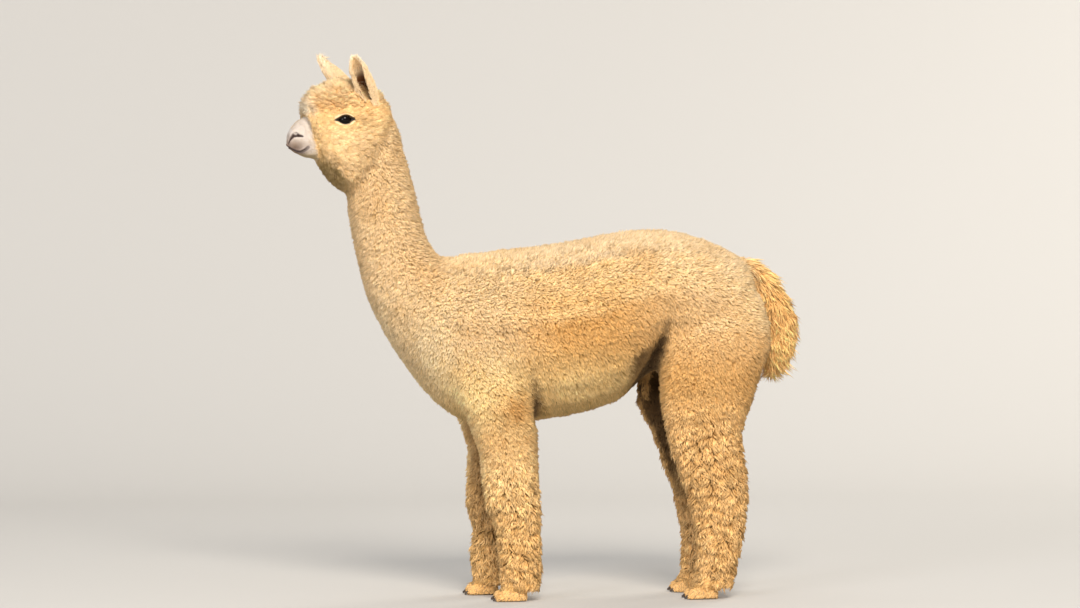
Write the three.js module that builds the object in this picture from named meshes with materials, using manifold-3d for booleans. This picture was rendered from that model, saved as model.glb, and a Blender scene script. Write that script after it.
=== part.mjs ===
// A standing huacaya alpaca at life size, modelled to the outside of its fleece.
// Millimetres, +Z up. The head points to -X and the left flank to -Y. The feet stand on Z = 0.
// The body is made whole from smooth lofts, then parted with thin cuts where its parts have names.
import * as THREE from "three";
import { mergeVertices } from "three/addons/utils/BufferGeometryUtils.js";
import Module from "manifold-3d";

const wasm = await Module();
wasm.setup();

// ---- Driving dimensions ----

const GAP = 0.35; // left between two pieces that are one in life
const CRUMB = 50; // cubic millimetres: less than this is a sliver left by a cut

const HEAD_TURN = 8; // degrees that the nose is turned to the animal's left
const POLL = new THREE.Vector3(-425, 0, 1240); // the joint that the head turns about

const EYE = { x: -530, y: 54, z: 1238, radius: 21 };
const LID = { radius: 24, long: 27, high: 12.5 }; // the lids' outer ball, and half the opening
const SOCKET = { long: 34, deep: 9, high: 22, out: 81 }; // the shallow bowl round the lids

const LIP_DEPTH = 7; // how far the mouth's slit goes in

const EAR = { length: 151, width: 29, wall: 6.5, curl: 16 };
const TOE = { length: 78, half: 19, height: 40, splay: 7, apart: 21 };
const NAIL = { length: 30, half: 8.5, height: 15 };

const ANKLE = 46; // where the foot is parted from the leg
const KNEE = 252;
const HOCK = 296;
const ELBOW = 446;
const STIFLE = 692;

// ---- Sections ----
// Each is a slice across the body in side view: its upper and lower (or front and back) edge as
// [x, z], and half its width. "widest" is the share of the way up at which it is widest.

const BODY = [
  { at: "rump", top: [561, 818], bottom: [556, 742], half: 54 },
  { at: "tail head", top: [543, 866], bottom: [538, 690], half: 110 },
  { at: "buttocks", top: [505, 897], bottom: [499, 632], half: 148 },
  { at: "croup", top: [414, 938], bottom: [402, 590], half: 166, widest: 0.5 },
  { at: "loin", top: [308, 959], bottom: [292, 586], half: 172 },
  { at: "flank", top: [215, 955], bottom: [208, 514], half: 183 },
  { at: "barrel", top: [110, 937], bottom: [118, 480], half: 189, widest: 0.48 },
  { at: "girth", top: [-8, 918], bottom: [5, 460], half: 187, widest: 0.48 },
  { at: "heart", top: [-113, 907], bottom: [-100, 452], half: 178 },
  { at: "elbow", top: [-191, 897], bottom: [-191, 452], half: 165 },
  { at: "shoulder", top: [-251, 890], bottom: [-272, 497], half: 148 },
  { at: "breast", top: [-273, 898], bottom: [-343, 578], half: 128 },
  { at: "neck root", top: [-289, 917], bottom: [-400, 663], half: 112 },
  { at: "low neck", top: [-302, 946], bottom: [-440, 735], half: 100 },
  { at: "neck", top: [-312, 981], bottom: [-466, 800], half: 92 },
  { at: "mid neck", top: [-331, 1063], bottom: [-494, 922], half: 82 },
  { at: "throat", top: [-353, 1148], bottom: [-512, 1032], half: 77 },
  { at: "nape", top: [-369, 1203], bottom: [-504, 1082], half: 73 },
  { at: "poll", top: [-382, 1240], bottom: [-492, 1124], half: 66 },
  { at: "inside the head", top: [-402, 1278], bottom: [-480, 1170], half: 44 },
];

const HEAD = [
  { at: "behind the poll", top: [-390, 1258], bottom: [-422, 1160], half: 48 },
  { at: "poll", top: [-402, 1290], bottom: [-448, 1104], half: 70, widest: 0.47 },
  { at: "behind the ears", top: [-424, 1321], bottom: [-468, 1068], half: 80, widest: 0.45 },
  { at: "between the ears", top: [-459, 1342], bottom: [-488, 1050], half: 84, widest: 0.44 },
  { at: "crown", top: [-500, 1351], bottom: [-514, 1048], half: 85, widest: 0.44 },
  { at: "eyes", top: [-540, 1349], bottom: [-545, 1067], half: 81, widest: 0.45 },
  { at: "brow", top: [-577, 1337], bottom: [-572, 1097], half: 72, widest: 0.5 },
  { at: "forelock", top: [-608, 1317], bottom: [-590, 1124], half: 62, widest: 0.56 },
  { at: "front of the forelock", top: [-628, 1292], bottom: [-598, 1146], half: 50, widest: 0.62 },
  { at: "over the nose", top: [-634, 1268], bottom: [-597, 1164], half: 38, widest: 0.6 },
  { at: "wool's edge", top: [-622, 1248], bottom: [-594, 1182], half: 24 },
];

const MUZZLE = [
  { at: "root", top: [-558, 1262], bottom: [-560, 1134], half: 40 },
  { at: "bridge", top: [-604, 1255], bottom: [-602, 1137], half: 39, widest: 0.42 },
  { at: "mouth's corner", top: [-628, 1245], bottom: [-624, 1143], half: 37, widest: 0.4 },
  { at: "cheek of the lip", top: [-646, 1232], bottom: [-641, 1151], half: 35, widest: 0.42 },
  { at: "nostrils", top: [-656, 1219], bottom: [-655, 1160], half: 30 },
  { at: "lip", top: [-663, 1207], bottom: [-665, 1169], half: 22 },
  { at: "tip", top: [-665, 1197], bottom: [-668, 1179], half: 10 },
];

const TAIL = [
  { at: "dock", top: [512, 884], bottom: [505, 848], half: 24 },
  { at: "root", top: [548, 884], bottom: [525, 830], half: 40 },
  { at: "bend", top: [602, 846], bottom: [548, 778], half: 52 },
  { at: "upper", top: [641, 792], bottom: [562, 722], half: 58 },
  { at: "middle", top: [664, 744], bottom: [568, 680], half: 60 },
  { at: "fullest", top: [672, 700], bottom: [574, 645], half: 59 },
  { at: "lower", top: [667, 652], bottom: [580, 616], half: 53 },
  { at: "fringe", top: [650, 612], bottom: [588, 594], half: 41 },
  { at: "tip", top: [620, 585], bottom: [598, 580], half: 18 },
];

// Legs: height, front and back edge, distance of the leg's middle from the body's, half its width.
const FORE_LEG = [
  { at: "shoulder blade", z: 770, front: -224, back: -130, out: 84, half: 40 },
  { at: "point of shoulder", z: 688, front: -254, back: -84, out: 98, half: 52 },
  { at: "upper arm", z: 600, front: -258, back: -48, out: 108, half: 59 },
  { at: "elbow", z: 518, front: -240, back: -28, out: 110, half: 61 },
  { at: "forearm's top", z: 454, front: -210, back: -22, out: 107, half: 60 },
  { at: "forearm", z: 390, front: -184, back: -21, out: 103, half: 58 },
  { at: "above the knee", z: 312, front: -174, back: -18, out: 100, half: 57 },
  { at: "knee", z: 248, front: -165, back: -13, out: 98, half: 57 },
  { at: "below the knee", z: 204, front: -146, back: -11, out: 97, half: 53 },
  { at: "cannon", z: 170, front: -131, back: -14, out: 96, half: 50 },
  { at: "cuff's top", z: 132, front: -131, back: -11, out: 96, half: 54 },
  { at: "cuff", z: 80, front: -127, back: -12, out: 96, half: 53 },
  { at: "cuff's edge", z: 34, front: -118, back: -20, out: 96, half: 46 },
];

const HIND_LEG = [
  { at: "hip", z: 858, front: 420, back: 510, out: 76, half: 38 },
  { at: "thigh's top", z: 782, front: 366, back: 566, out: 92, half: 54 },
  { at: "thigh", z: 704, front: 310, back: 588, out: 107, half: 66 },
  { at: "stifle", z: 645, front: 290, back: 586, out: 112, half: 69 },
  { at: "lower thigh", z: 593, front: 286, back: 565, out: 113, half: 66 },
  { at: "gaskin's top", z: 542, front: 284, back: 549, out: 112, half: 64 },
  { at: "gaskin", z: 472, front: 294, back: 526, out: 109, half: 60 },
  { at: "above the hock", z: 428, front: 304, back: 513, out: 107, half: 57 },
  { at: "hock's top", z: 370, front: 322, back: 518, out: 105, half: 57 },
  { at: "hock", z: 312, front: 344, back: 526, out: 103, half: 58 },
  { at: "under the hock", z: 256, front: 367, back: 527, out: 102, half: 55 },
  { at: "cannon", z: 195, front: 379, back: 520, out: 102, half: 53 },
  { at: "cuff's top", z: 140, front: 388, back: 511, out: 102, half: 54 },
  { at: "cuff", z: 82, front: 386, back: 500, out: 102, half: 52 },
  { at: "cuff's edge", z: 34, front: 380, back: 484, out: 102, half: 46 },
];

const EARS = [
  { name: "left_ear", side: -1, root: [-453, 47, 1268], lean: 23, splay: 14, twist: 64 },
  { name: "right_ear", side: 1, root: [-471, 47, 1284], lean: 36, splay: 8, twist: 44 },
];

// Where the middle of each cut piece is, about.
const PLACES = [
  ["head", -510, 0, 1200],
  ["neck", -390, 0, 900],
  ["trunk", 150, 0, 720],
  ["left_fore_upper_leg", -110, -100, 350],
  ["right_fore_upper_leg", -120, 100, 350],
  ["left_fore_lower_leg", -90, -100, 150],
  ["right_fore_lower_leg", -110, 100, 150],
  ["left_hind_upper_leg", 430, -90, 490],
  ["right_hind_upper_leg", 430, 90, 490],
  ["left_hind_lower_leg", 440, -100, 170],
  ["right_hind_lower_leg", 440, 100, 170],
];

// How far forward of the list above each leg stands, at each height.
const fade = (z, low, high) => THREE.MathUtils.smoothstep(z, low, high);
const STANCES = [
  { name: "left_fore", side: -1, leg: FORE_LEG, step: () => 0 },
  { name: "right_fore", side: 1, leg: FORE_LEG, step: (z) => 50 * (1 - fade(z, 60, ELBOW)) },
  { name: "left_hind", side: -1, leg: HIND_LEG, step: () => 0 },
  {
    name: "right_hind",
    side: 1,
    leg: HIND_LEG,
    step: (z) => 3 + 27 * fade(z, 410, 510) * (1 - fade(z, 640, 740)),
  },
];

// ---- Solids ----

// The geometry as a manifold-3d solid, its shared vertices merged.
function solid(geometry) {
  const bare = geometry.clone();
  bare.deleteAttribute("normal");
  bare.deleteAttribute("uv");
  const merged = mergeVertices(bare, 1e-3);
  return new wasm.Manifold(
    new wasm.Mesh({
      numProp: 3,
      vertProperties: merged.getAttribute("position").array,
      triVerts: new Uint32Array(merged.index.array),
    }),
  );
}

function geometryOf(made) {
  const mesh = made.getMesh();
  const geometry = new THREE.BufferGeometry()
    .setAttribute("position", new THREE.BufferAttribute(mesh.vertProperties, 3))
    .setIndex(new THREE.BufferAttribute(mesh.triVerts, 1))
    .toNonIndexed();
  geometry.computeVertexNormals();
  return geometry;
}

// The biggest of a solid's bodies, so that a boolean leaves no crumbs.
function biggest(made) {
  return made.decompose().reduce((a, b) => (b.volume() > a.volume() ? b : a));
}

// What is left of one solid outside another, with a gap between them in the given direction.
function clearOf(made, other, [x, y, z]) {
  return biggest(made.subtract(other).subtract(other.translate([GAP * x, GAP * y, GAP * z])));
}

// ---- Lofts ----

// Six times the volume inside a closed indexed shape, negative when its faces look inwards.
function signedVolume(points, index) {
  let sum = 0;
  for (let i = 0; i < index.length; i += 3) {
    const [a, b, c] = [points[index[i]], points[index[i + 1]], points[index[i + 2]]];
    sum += a.dot(new THREE.Vector3().crossVectors(b, c));
  }
  return sum;
}

// A closed shape through rings of points, all with the same count, each end closed by a fan.
function throughRings(rings) {
  const sides = rings[0].length;
  const middle = (ring) =>
    ring.reduce((sum, p) => sum.add(p), new THREE.Vector3()).divideScalar(sides);
  const points = [...rings.flat(), middle(rings[0]), middle(rings.at(-1))];
  const [first, last] = [points.length - 2, points.length - 1];
  const index = [];
  for (let j = 0; j < sides; j++) {
    const k = (j + 1) % sides;
    index.push(first, k, j);
    for (let i = 0; i < rings.length - 1; i++) {
      const a = i * sides;
      const b = a + sides;
      index.push(a + j, a + k, b + k, a + j, b + k, b + j);
    }
    const end = (rings.length - 1) * sides;
    index.push(last, end + j, end + k);
  }
  if (signedVolume(points, index) < 0) index.reverse();
  return new THREE.BufferGeometry().setFromPoints(points).setIndex(index);
}

// One slice: "square" under 1 fills its corners, as a fleece does, and "widest" moves its waist.
function slice({ top, bottom, half, widest, out }, sides, square) {
  const lift = Math.log(widest) / Math.log(0.5);
  const bulge = (v) => Math.sign(v) * Math.abs(v) ** square;
  return Array.from({ length: sides }, (_, j) => {
    const angle = (2 * Math.PI * j) / sides;
    const up = ((1 + bulge(Math.cos(angle))) / 2) ** lift;
    const x = bottom.x + (top.x - bottom.x) * up;
    const z = bottom.z + (top.z - bottom.z) * up;
    return new THREE.Vector3(x, out + half * bulge(Math.sin(angle)), z);
  });
}

// A smooth body through named sections, with "steps" rings for each section.
function loft(sections, { steps, sides, square }) {
  const curve = (pick) =>
    new THREE.CatmullRomCurve3(sections.map((s) => new THREE.Vector3(...pick(s))));
  const top = curve((s) => [s.top[0], 0, s.top[1]]);
  const bottom = curve((s) => [s.bottom[0], 0, s.bottom[1]]);
  const girth = curve((s) => [s.half, s.widest ?? 0.5, s.out ?? 0]);
  const count = (sections.length - 1) * steps;
  const rings = Array.from({ length: count + 1 }, (_, i) => {
    const g = girth.getPoint(i / count);
    const shape = { half: g.x, widest: g.y, out: g.z };
    shape.top = top.getPoint(i / count);
    shape.bottom = bottom.getPoint(i / count);
    return slice(shape, sides, square);
  });
  return throughRings(rings);
}

// A leg is a loft downwards, whose sections are level, with its front as the "top" edge.
function legLoft({ side, leg, step }) {
  const sections = leg.map(({ z, front, back, out, half }) => {
    const edge = (x) => [x - step(z), z];
    return { top: edge(front), bottom: edge(back), half, out: side * out };
  });
  return loft(sections, { steps: 1, sides: 14, square: 0.9 });
}

// ---- Cuts ----

// A thin plate seen edge-on in side view, from one [x, z] to another, between two distances out.
function plate([x1, z1], [x2, z2], [y1, y2]) {
  const run = new THREE.Vector2(x2 - x1, z2 - z1);
  return new THREE.BoxGeometry(run.length(), y2 - y1, GAP)
    .rotateY(-run.angle())
    .translate((x1 + x2) / 2, (y1 + y2) / 2, (z1 + z2) / 2);
}

function bodyCuts() {
  const wide = [-250, 250];
  const cuts = [
    plate([-255, 930], [-370, 556], wide), // neck from trunk
    plate([-362, 1292], [-538, 1020], wide), // head from neck
    plate([303, STIFLE], [190, 494], wide), // the flank fold, in front of the thighs
    plate([303, STIFLE], [640, STIFLE], wide), // thighs from trunk
    new THREE.BoxGeometry(450, GAP, STIFLE - 480).translate(415, 0, (STIFLE + 480) / 2),
  ];
  for (const { side, leg } of STANCES) {
    const span = side < 0 ? [-220, -1] : [1, 220];
    const ends = leg === FORE_LEG ? [-330, 60] : [200, 620];
    const heights = leg === FORE_LEG ? [ELBOW, KNEE] : [HOCK];
    for (const z of heights) cuts.push(plate([ends[0], z], [ends[1], z], span));
  }
  return cuts;
}

// ---- Head ----

function turnHead(geometry) {
  return geometry
    .translate(-POLL.x, -POLL.y, -POLL.z)
    .rotateZ(THREE.MathUtils.degToRad(HEAD_TURN))
    .translate(POLL.x, POLL.y, POLL.z);
}

function ball(radius, x, y, z, around = 14) {
  return new THREE.SphereGeometry(radius, around, around / 2)
    .rotateX(Math.PI / 2)
    .translate(x, y, z);
}

// The almond between the lids, as a prism through the eye's outer half.
function lidOpening(side) {
  const { long, high } = LID;
  const almond = new THREE.Shape()
    .moveTo(-long, -2)
    .quadraticCurveTo(-2, 2 * high - 2, long, 1)
    .quadraticCurveTo(0, -2 * high + 2, -long, -2);
  return new THREE.ExtrudeGeometry(almond, { depth: 40, bevelEnabled: false, curveSegments: 6 })
    .rotateX(Math.PI / 2)
    .translate(EYE.x, side < 0 ? side * EYE.y : side * EYE.y + 40, EYE.z);
}

// A shallow bowl in the wool round each eye, and a rounded rim of lid inside it.
function withEyes(head) {
  let made = head;
  for (const side of [-1, 1]) {
    const bowl = ball(1, 0, 0, 0, 12).scale(SOCKET.long, SOCKET.deep, SOCKET.high);
    bowl.translate(EYE.x, side * SOCKET.out, EYE.z);
    made = made
      .subtract(solid(turnHead(bowl)))
      .add(solid(turnHead(ball(LID.radius, EYE.x, side * EYE.y, EYE.z))))
      .subtract(solid(turnHead(lidOpening(side))))
      .subtract(solid(turnHead(ball(EYE.radius + GAP, EYE.x, side * EYE.y, EYE.z))));
  }
  return made;
}

// The nostrils are slanting slots, and the mouth a thin slot that turns up at its corners.
function nostril(side) {
  return ball(1, 0, 0, 0, 8)
    .scale(15, 9, 4)
    .rotateY(THREE.MathUtils.degToRad(-18))
    .rotateZ(THREE.MathUtils.degToRad(side * -24))
    .translate(-652, side * 25, 1202);
}

function mouth(core) {
  const line = new THREE.CatmullRomCurve3(
    [
      [-690, 1176],
      [-664, 1171],
      [-646, 1161],
      [-630, 1165],
      [-616, 1176],
    ].map(([x, z]) => new THREE.Vector3(x, z, 0)),
  );
  const edge = line.getPoints(5);
  const slot = new THREE.Shape([
    ...edge.map((p) => new THREE.Vector2(p.x, p.y + 1)),
    ...edge.reverse().map((p) => new THREE.Vector2(p.x, p.y - 1)),
  ]);
  const cut = new THREE.ExtrudeGeometry(slot, { depth: 100, bevelEnabled: false })
    .rotateX(Math.PI / 2)
    .translate(0, 50, 0);
  return solid(turnHead(cut)).subtract(core);
}

// A leaf rolled into a cone: its wall is an arc that opens towards +X and narrows to the tip.
function rolledLeaf() {
  const rows = 7;
  const across = 7;
  const rings = Array.from({ length: rows + 1 }, (_, i) => {
    const t = i / rows;
    const swell = Math.sin(Math.PI * (0.22 + 0.78 * t ** 1.15)) ** 0.7;
    const radius = EAR.width * Math.max(0.3, swell);
    const spread = THREE.MathUtils.degToRad(163 - 48 * t ** 3);
    const wall = EAR.wall * (1.1 - 0.45 * t);
    const arc = (r, turn) =>
      new THREE.Vector3(
        -r * Math.cos(turn) * 0.8 + EAR.curl * t * t,
        r * Math.sin(turn),
        EAR.length * t,
      );
    const turns = Array.from({ length: across + 1 }, (_, j) => spread * ((2 * j) / across - 1));
    const outer = turns.map((turn) => arc(radius, turn));
    const inner = turns.reverse().map((turn) => arc(radius - wall, turn));
    return [...outer, ...inner];
  });
  return throughRings(rings);
}

// Lean is forwards, splay outwards, and twist turns the opening outwards.
function placedEar({ side, root, lean, splay, twist }) {
  const [x, y, z] = root;
  const turn = new THREE.Matrix4().makeRotationFromEuler(
    new THREE.Euler(
      THREE.MathUtils.degToRad(-side * splay),
      THREE.MathUtils.degToRad(-lean),
      THREE.MathUtils.degToRad(180 - side * twist),
      "YXZ",
    ),
  );
  return turnHead(rolledLeaf().applyMatrix4(turn).translate(x, side * y, z));
}

// ---- Feet ----

// One toe lying along X with its flat pad on Z = 0 and its tip towards -X.
function toe() {
  const { length, half, height } = TOE;
  const sections = [
    { top: [length * 0.52, 0.8 * height], bottom: [length * 0.5, -4], half: 0.66 * half },
    { top: [length * 0.25, height], bottom: [length * 0.3, -4], half: 0.98 * half },
    { top: [-length * 0.1, 0.92 * height], bottom: [-length * 0.1, -4], half },
    { top: [-length * 0.36, 0.66 * height], bottom: [-length * 0.38, -4], half: 0.88 * half },
    { top: [-length * 0.5, 0.38 * height], bottom: [-length * 0.5, -2], half: 0.55 * half },
  ];
  return loft(sections, { steps: 1, sides: 9, square: 0.85 });
}

// A curved claw over the toe's tip.
function nail() {
  const { length, half, height } = NAIL;
  const sections = [
    { top: [length * 0.5, height * 1.3], bottom: [length * 0.5, height * 0.6], half: half * 0.6 },
    { top: [length * 0.1, height * 1.2], bottom: [length * 0.1, height * 0.3], half },
    { top: [-length * 0.25, height * 0.85], bottom: [-length * 0.25, 2.5], half: half * 0.85 },
    { top: [-length * 0.5, 5.5], bottom: [-length * 0.48, 1.5], half: half * 0.3 },
  ];
  return loft(sections, { steps: 1, sides: 6, square: 0.9 });
}

// The two toes of a foot under the leg's lowest section, as one solid with the pastern's skin.
function placedToes(make, { side, leg, step }) {
  const last = leg.at(-1);
  const forward = last.front - step(last.z) - TOE.length * 0.02;
  return [-1, 1].map((which) =>
    make()
      .rotateZ(THREE.MathUtils.degToRad(-which * TOE.splay))
      .translate(forward + TOE.length * 0.3, side * last.out + which * TOE.apart, 0),
  );
}

// ---- Assembly ----

const FLEECE = { color: 0xe6c899, roughness: 0.95 };
const PALE = { color: 0xf0dfc4, roughness: 0.9 };
const BARE = { color: 0xe9d8cd, roughness: 0.6 };
const HORN = { color: 0x4b4038, roughness: 0.45 };
const DARK_EYE = { color: 0x16100d, roughness: 0.08 };

const alpaca = new THREE.Group();

function show(name, made, finish) {
  const mesh = new THREE.Mesh(
    geometryOf(made),
    new THREE.MeshStandardMaterial({ metalness: 0, ...finish }),
  );
  mesh.name = name;
  alpaca.add(mesh);
}

const floorCut = solid(new THREE.BoxGeometry(2000, 800, 100).translate(0, 0, -50));
const under = (made) => made.subtract(floorCut);

// Everything of flesh and fleece but the muzzle, ears and tail, as one solid.
let whole = solid(loft(BODY, { steps: 2, sides: 18, square: 0.94 }));
for (const stance of STANCES) whole = whole.add(solid(legLoft(stance)));
whole = whole.add(solid(turnHead(loft(HEAD, { steps: 2, sides: 16, square: 0.94 }))));
whole = withEyes(whole);

const muzzleShape = loft(MUZZLE, { steps: 1, sides: 16, square: 0.88 });
const core = muzzleShape.clone().scale(1, 0.8, 1).translate(LIP_DEPTH, 0, 0);
let muzzle = solid(turnHead(muzzleShape)).subtract(mouth(solid(turnHead(core))));
for (const side of [-1, 1]) muzzle = muzzle.subtract(solid(turnHead(nostril(side))));
show("muzzle", clearOf(muzzle, whole, [-1, 0, 0]), BARE);

for (const ear of EARS) {
  show(ear.name, clearOf(solid(placedEar(ear)), whole, [0, 0, 1]), PALE);
}
const tail = solid(loft(TAIL, { steps: 1, sides: 12, square: 0.92 }));
show("tail", clearOf(tail, whole, [0.8, 0, 0.6]), FLEECE);

for (const side of [-1, 1]) {
  const made = solid(turnHead(ball(EYE.radius, EYE.x, side * EYE.y, EYE.z)));
  show(side < 0 ? "left_eye" : "right_eye", made, DARK_EYE);
}

// Feet: two toes and the bottom of the leg above them, with a nail on each toe's tip.
for (const stance of STANCES) {
  const last = stance.leg.at(-1);
  const block = new THREE.BoxGeometry(400, 190, ANKLE).translate(
    (last.front + last.back) / 2,
    stance.side * last.out,
    ANKLE / 2,
  );
  const low = solid(block.clone().translate(0, 0, -GAP));
  const toes = placedToes(toe, stance).map((t) => solid(t).subtract(floorCut));
  const foot = toes.reduce((a, b) => a.add(b), whole.intersect(low));
  whole = whole.subtract(solid(block));
  show(`${stance.name}_foot`, biggest(foot), FLEECE);
  placedToes(nail, stance).forEach((shape, i) => {
    const made = solid(shape.translate(-TOE.length * 0.42, 0, 0)).subtract(floorCut);
    show(`${stance.name}_nail_${i + 1}`, clearOf(made, foot, [-1, 0, 0]), HORN);
  });
}

// The thin cuts, and the pieces they leave, each named by the place nearest to its middle.
for (const cut of bodyCuts()) whole = whole.subtract(solid(cut));
const middleOf = (made) => {
  const { min, max } = made.boundingBox();
  return new THREE.Vector3(...min).add(new THREE.Vector3(...max)).divideScalar(2);
};
const pieces = whole.decompose().filter((piece) => piece.volume() > CRUMB);
for (const [name, ...place] of PLACES) {
  const away = (piece) => middleOf(piece).distanceTo(new THREE.Vector3(...place));
  show(name, pieces.reduce((a, b) => (away(b) < away(a) ? b : a)), FLEECE);
}

// The frame's origin: on the floor, under the middle of the whole animal's box.
const box = new THREE.Box3().setFromObject(alpaca);
const centre = box.getCenter(new THREE.Vector3());
alpaca.position.set(-centre.x, -centre.y, -box.min.z);

export default alpaca;
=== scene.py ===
import math

import bmesh
import bpy
import numpy as np
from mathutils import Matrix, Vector
from mathutils.bvhtree import BVHTree
from mathutils.kdtree import KDTree


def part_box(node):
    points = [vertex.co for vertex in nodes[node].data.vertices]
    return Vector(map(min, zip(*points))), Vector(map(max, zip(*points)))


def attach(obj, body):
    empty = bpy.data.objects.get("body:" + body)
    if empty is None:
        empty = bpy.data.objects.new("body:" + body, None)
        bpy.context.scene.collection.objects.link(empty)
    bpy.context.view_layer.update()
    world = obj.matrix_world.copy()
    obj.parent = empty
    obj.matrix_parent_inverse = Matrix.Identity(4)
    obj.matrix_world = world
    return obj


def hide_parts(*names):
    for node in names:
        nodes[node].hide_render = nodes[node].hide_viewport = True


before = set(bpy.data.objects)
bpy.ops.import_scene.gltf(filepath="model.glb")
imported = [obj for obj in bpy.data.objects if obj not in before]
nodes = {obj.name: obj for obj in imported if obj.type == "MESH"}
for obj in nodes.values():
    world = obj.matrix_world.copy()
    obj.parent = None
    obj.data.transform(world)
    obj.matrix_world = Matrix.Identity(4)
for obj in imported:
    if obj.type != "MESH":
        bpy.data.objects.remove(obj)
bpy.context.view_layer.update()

# ---- The view ----
# A long lens at the height of the shoulder, eleven metres off, a little ahead of square to the
# left flank, so that the far legs and the far ear show past the near ones.

VIEW_TARGET = Vector((-0.008, 0.0, 0.762))
VIEW_AHEAD = math.radians(8)
VIEW_RISE = math.radians(1.5)
VIEW_DISTANCE = 11.0
LENS_MM = 141.2

view_from = VIEW_TARGET + VIEW_DISTANCE * Vector((
    -math.sin(VIEW_AHEAD) * math.cos(VIEW_RISE),
    -math.cos(VIEW_AHEAD) * math.cos(VIEW_RISE),
    math.sin(VIEW_RISE)))
lens = bpy.data.cameras.new("view")
lens.lens = LENS_MM
lens.clip_end = 200
camera = bpy.data.objects.new("view", lens)
camera.location = view_from
camera.rotation_euler = (VIEW_TARGET - view_from).to_track_quat("-Z", "Y").to_euler()
bpy.context.scene.collection.objects.link(camera)
bpy.context.scene.camera = camera

# ---- The outline of the animal ----
# One closed surface through the outside of the fleece, with no joins: everything of flesh and
# wool taken together, finest on the head and the feet. The skin lies inside it and the coat
# grows from the skin out to it.

FLESH = sorted(n for n in nodes if "eye" not in n and "nail" not in n)
HEAD_VOXEL, BODY_VOXEL, FOOT_VOXEL = 0.0036, 0.0085, 0.0040
NECK_SPLIT, FOOT_SPLIT = 1.08, 0.062  # heights where the fine and the plain meshes meet
SPLIT_BAND = 0.004
LID_RADIUS = 0.024

eye_middle = {s: sum(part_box(s + "_eye"), Vector()) / 2 for s in ("left", "right")}


def placed(name, mesh):
    """A mesh, or a lamp, as a new object of the scene."""
    thing = bpy.data.objects.new(name, mesh)
    bpy.context.scene.collection.objects.link(thing)
    return thing


def finished(name, draft):
    """A draft as a mesh of the scene, once the work on it is done."""
    mesh = bpy.data.meshes.new(name)
    draft.to_mesh(mesh)
    draft.free()
    return mesh


def outline_source():
    """The flesh nodes in one mesh, the closed lids' balls added, and each face's node."""
    joined = bmesh.new()
    owner = []
    for number, name in enumerate(FLESH):
        joined.from_mesh(nodes[name].data)
        owner += [number] * (len(joined.faces) - len(owner))
    for middle in eye_middle.values():
        ball = bmesh.ops.create_uvsphere(joined, u_segments=32, v_segments=16, radius=LID_RADIUS)
        bmesh.ops.translate(joined, verts=ball["verts"], vec=middle)
    owner += [FLESH.index("head")] * (len(joined.faces) - len(owner))
    tree = BVHTree.FromBMesh(joined)
    return finished("outline", joined), tree, np.array(owner)


def remeshed(source, voxel):
    """One closed surface round everything in the source, in squares of the given size."""
    holder = placed("outline", source)
    grid = holder.modifiers.new("voxels", "REMESH")
    grid.mode = "VOXEL"
    grid.voxel_size = voxel
    seen = holder.evaluated_get(bpy.context.evaluated_depsgraph_get())
    mesh = bpy.data.meshes.new_from_object(seen)
    bpy.data.objects.remove(holder)
    return mesh


def slab(mesh, low, high):
    """The part of a mesh between two heights, open where it is cut."""
    part = bmesh.new()
    part.from_mesh(mesh)
    for height, way in ((low, -1), (high, 1)):
        if height is not None:
            bmesh.ops.bisect_plane(
                part, geom=part.verts[:] + part.edges[:] + part.faces[:],
                plane_co=(0, 0, height), plane_no=(0, 0, way), clear_outer=True)
    return finished("part", part)


def bridged(parts):
    """The parts in one mesh, each pair of facing cut edges joined: one neck and four legs."""
    whole = bmesh.new()
    for part in parts:
        whole.from_mesh(part)
    rims = {}
    for edge in whole.edges:
        if edge.is_boundary:
            x, y, z = (edge.verts[0].co + edge.verts[1].co) / 2
            rims.setdefault((z > 0.5, z > 0.5 or x > 0.1, z > 0.5 or y > 0), []).append(edge)
    for rim in rims.values():
        bmesh.ops.bridge_loops(whole, edges=rim)
    return whole


# The head has its own directions: ahead, to its right and up, from a point between the eyes.
head_right = (eye_middle["right"] - eye_middle["left"]).normalized()
head_ahead = head_right.cross(Vector((0, 0, -1))).normalized()
head_middle = (eye_middle["left"] + eye_middle["right"]) / 2
HEAD_AHEAD, HEAD_RIGHT, UPWARDS = np.array(head_ahead), np.array(head_right), np.array([0, 0, 1.0])


def in_head(points):
    """Points as the distance ahead of the eyes, to the right and above them."""
    away = np.asarray(points, float) - np.array(head_middle)
    return np.stack([away @ HEAD_AHEAD, away @ HEAD_RIGHT, away[..., 2]], -1)


def from_head(places):
    """Places given in the head's own directions, as points of the whole animal."""
    places = np.asarray(places, float)
    return (np.array(head_middle) + places[..., :1] * HEAD_AHEAD
            + places[..., 1:2] * HEAD_RIGHT + places[..., 2:] * UPWARDS)


def subdivided(whole, chosen):
    """Halves every edge of the faces whose middles are chosen."""
    middles = np.array([face.calc_center_median() for face in whole.faces])
    pick = chosen(middles)
    edges = {edge for face, yes in zip(whole.faces, pick) if yes for edge in face.edges}
    bmesh.ops.subdivide_edges(whole, edges=list(edges), cuts=1, use_grid_fill=True)


def gap_to_eyes(points):
    """Each point's distance from the middle of the nearer eye."""
    return np.min([np.linalg.norm(points - np.array(m), axis=-1) for m in eye_middle.values()], 0)


def by_the_lips(points):
    """Whether each point is on the nose or the lips."""
    ahead, up = in_head(points).T[[0, 2]]
    return (ahead > 0.072) & (up > -0.092) & (up < -0.012)


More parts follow.
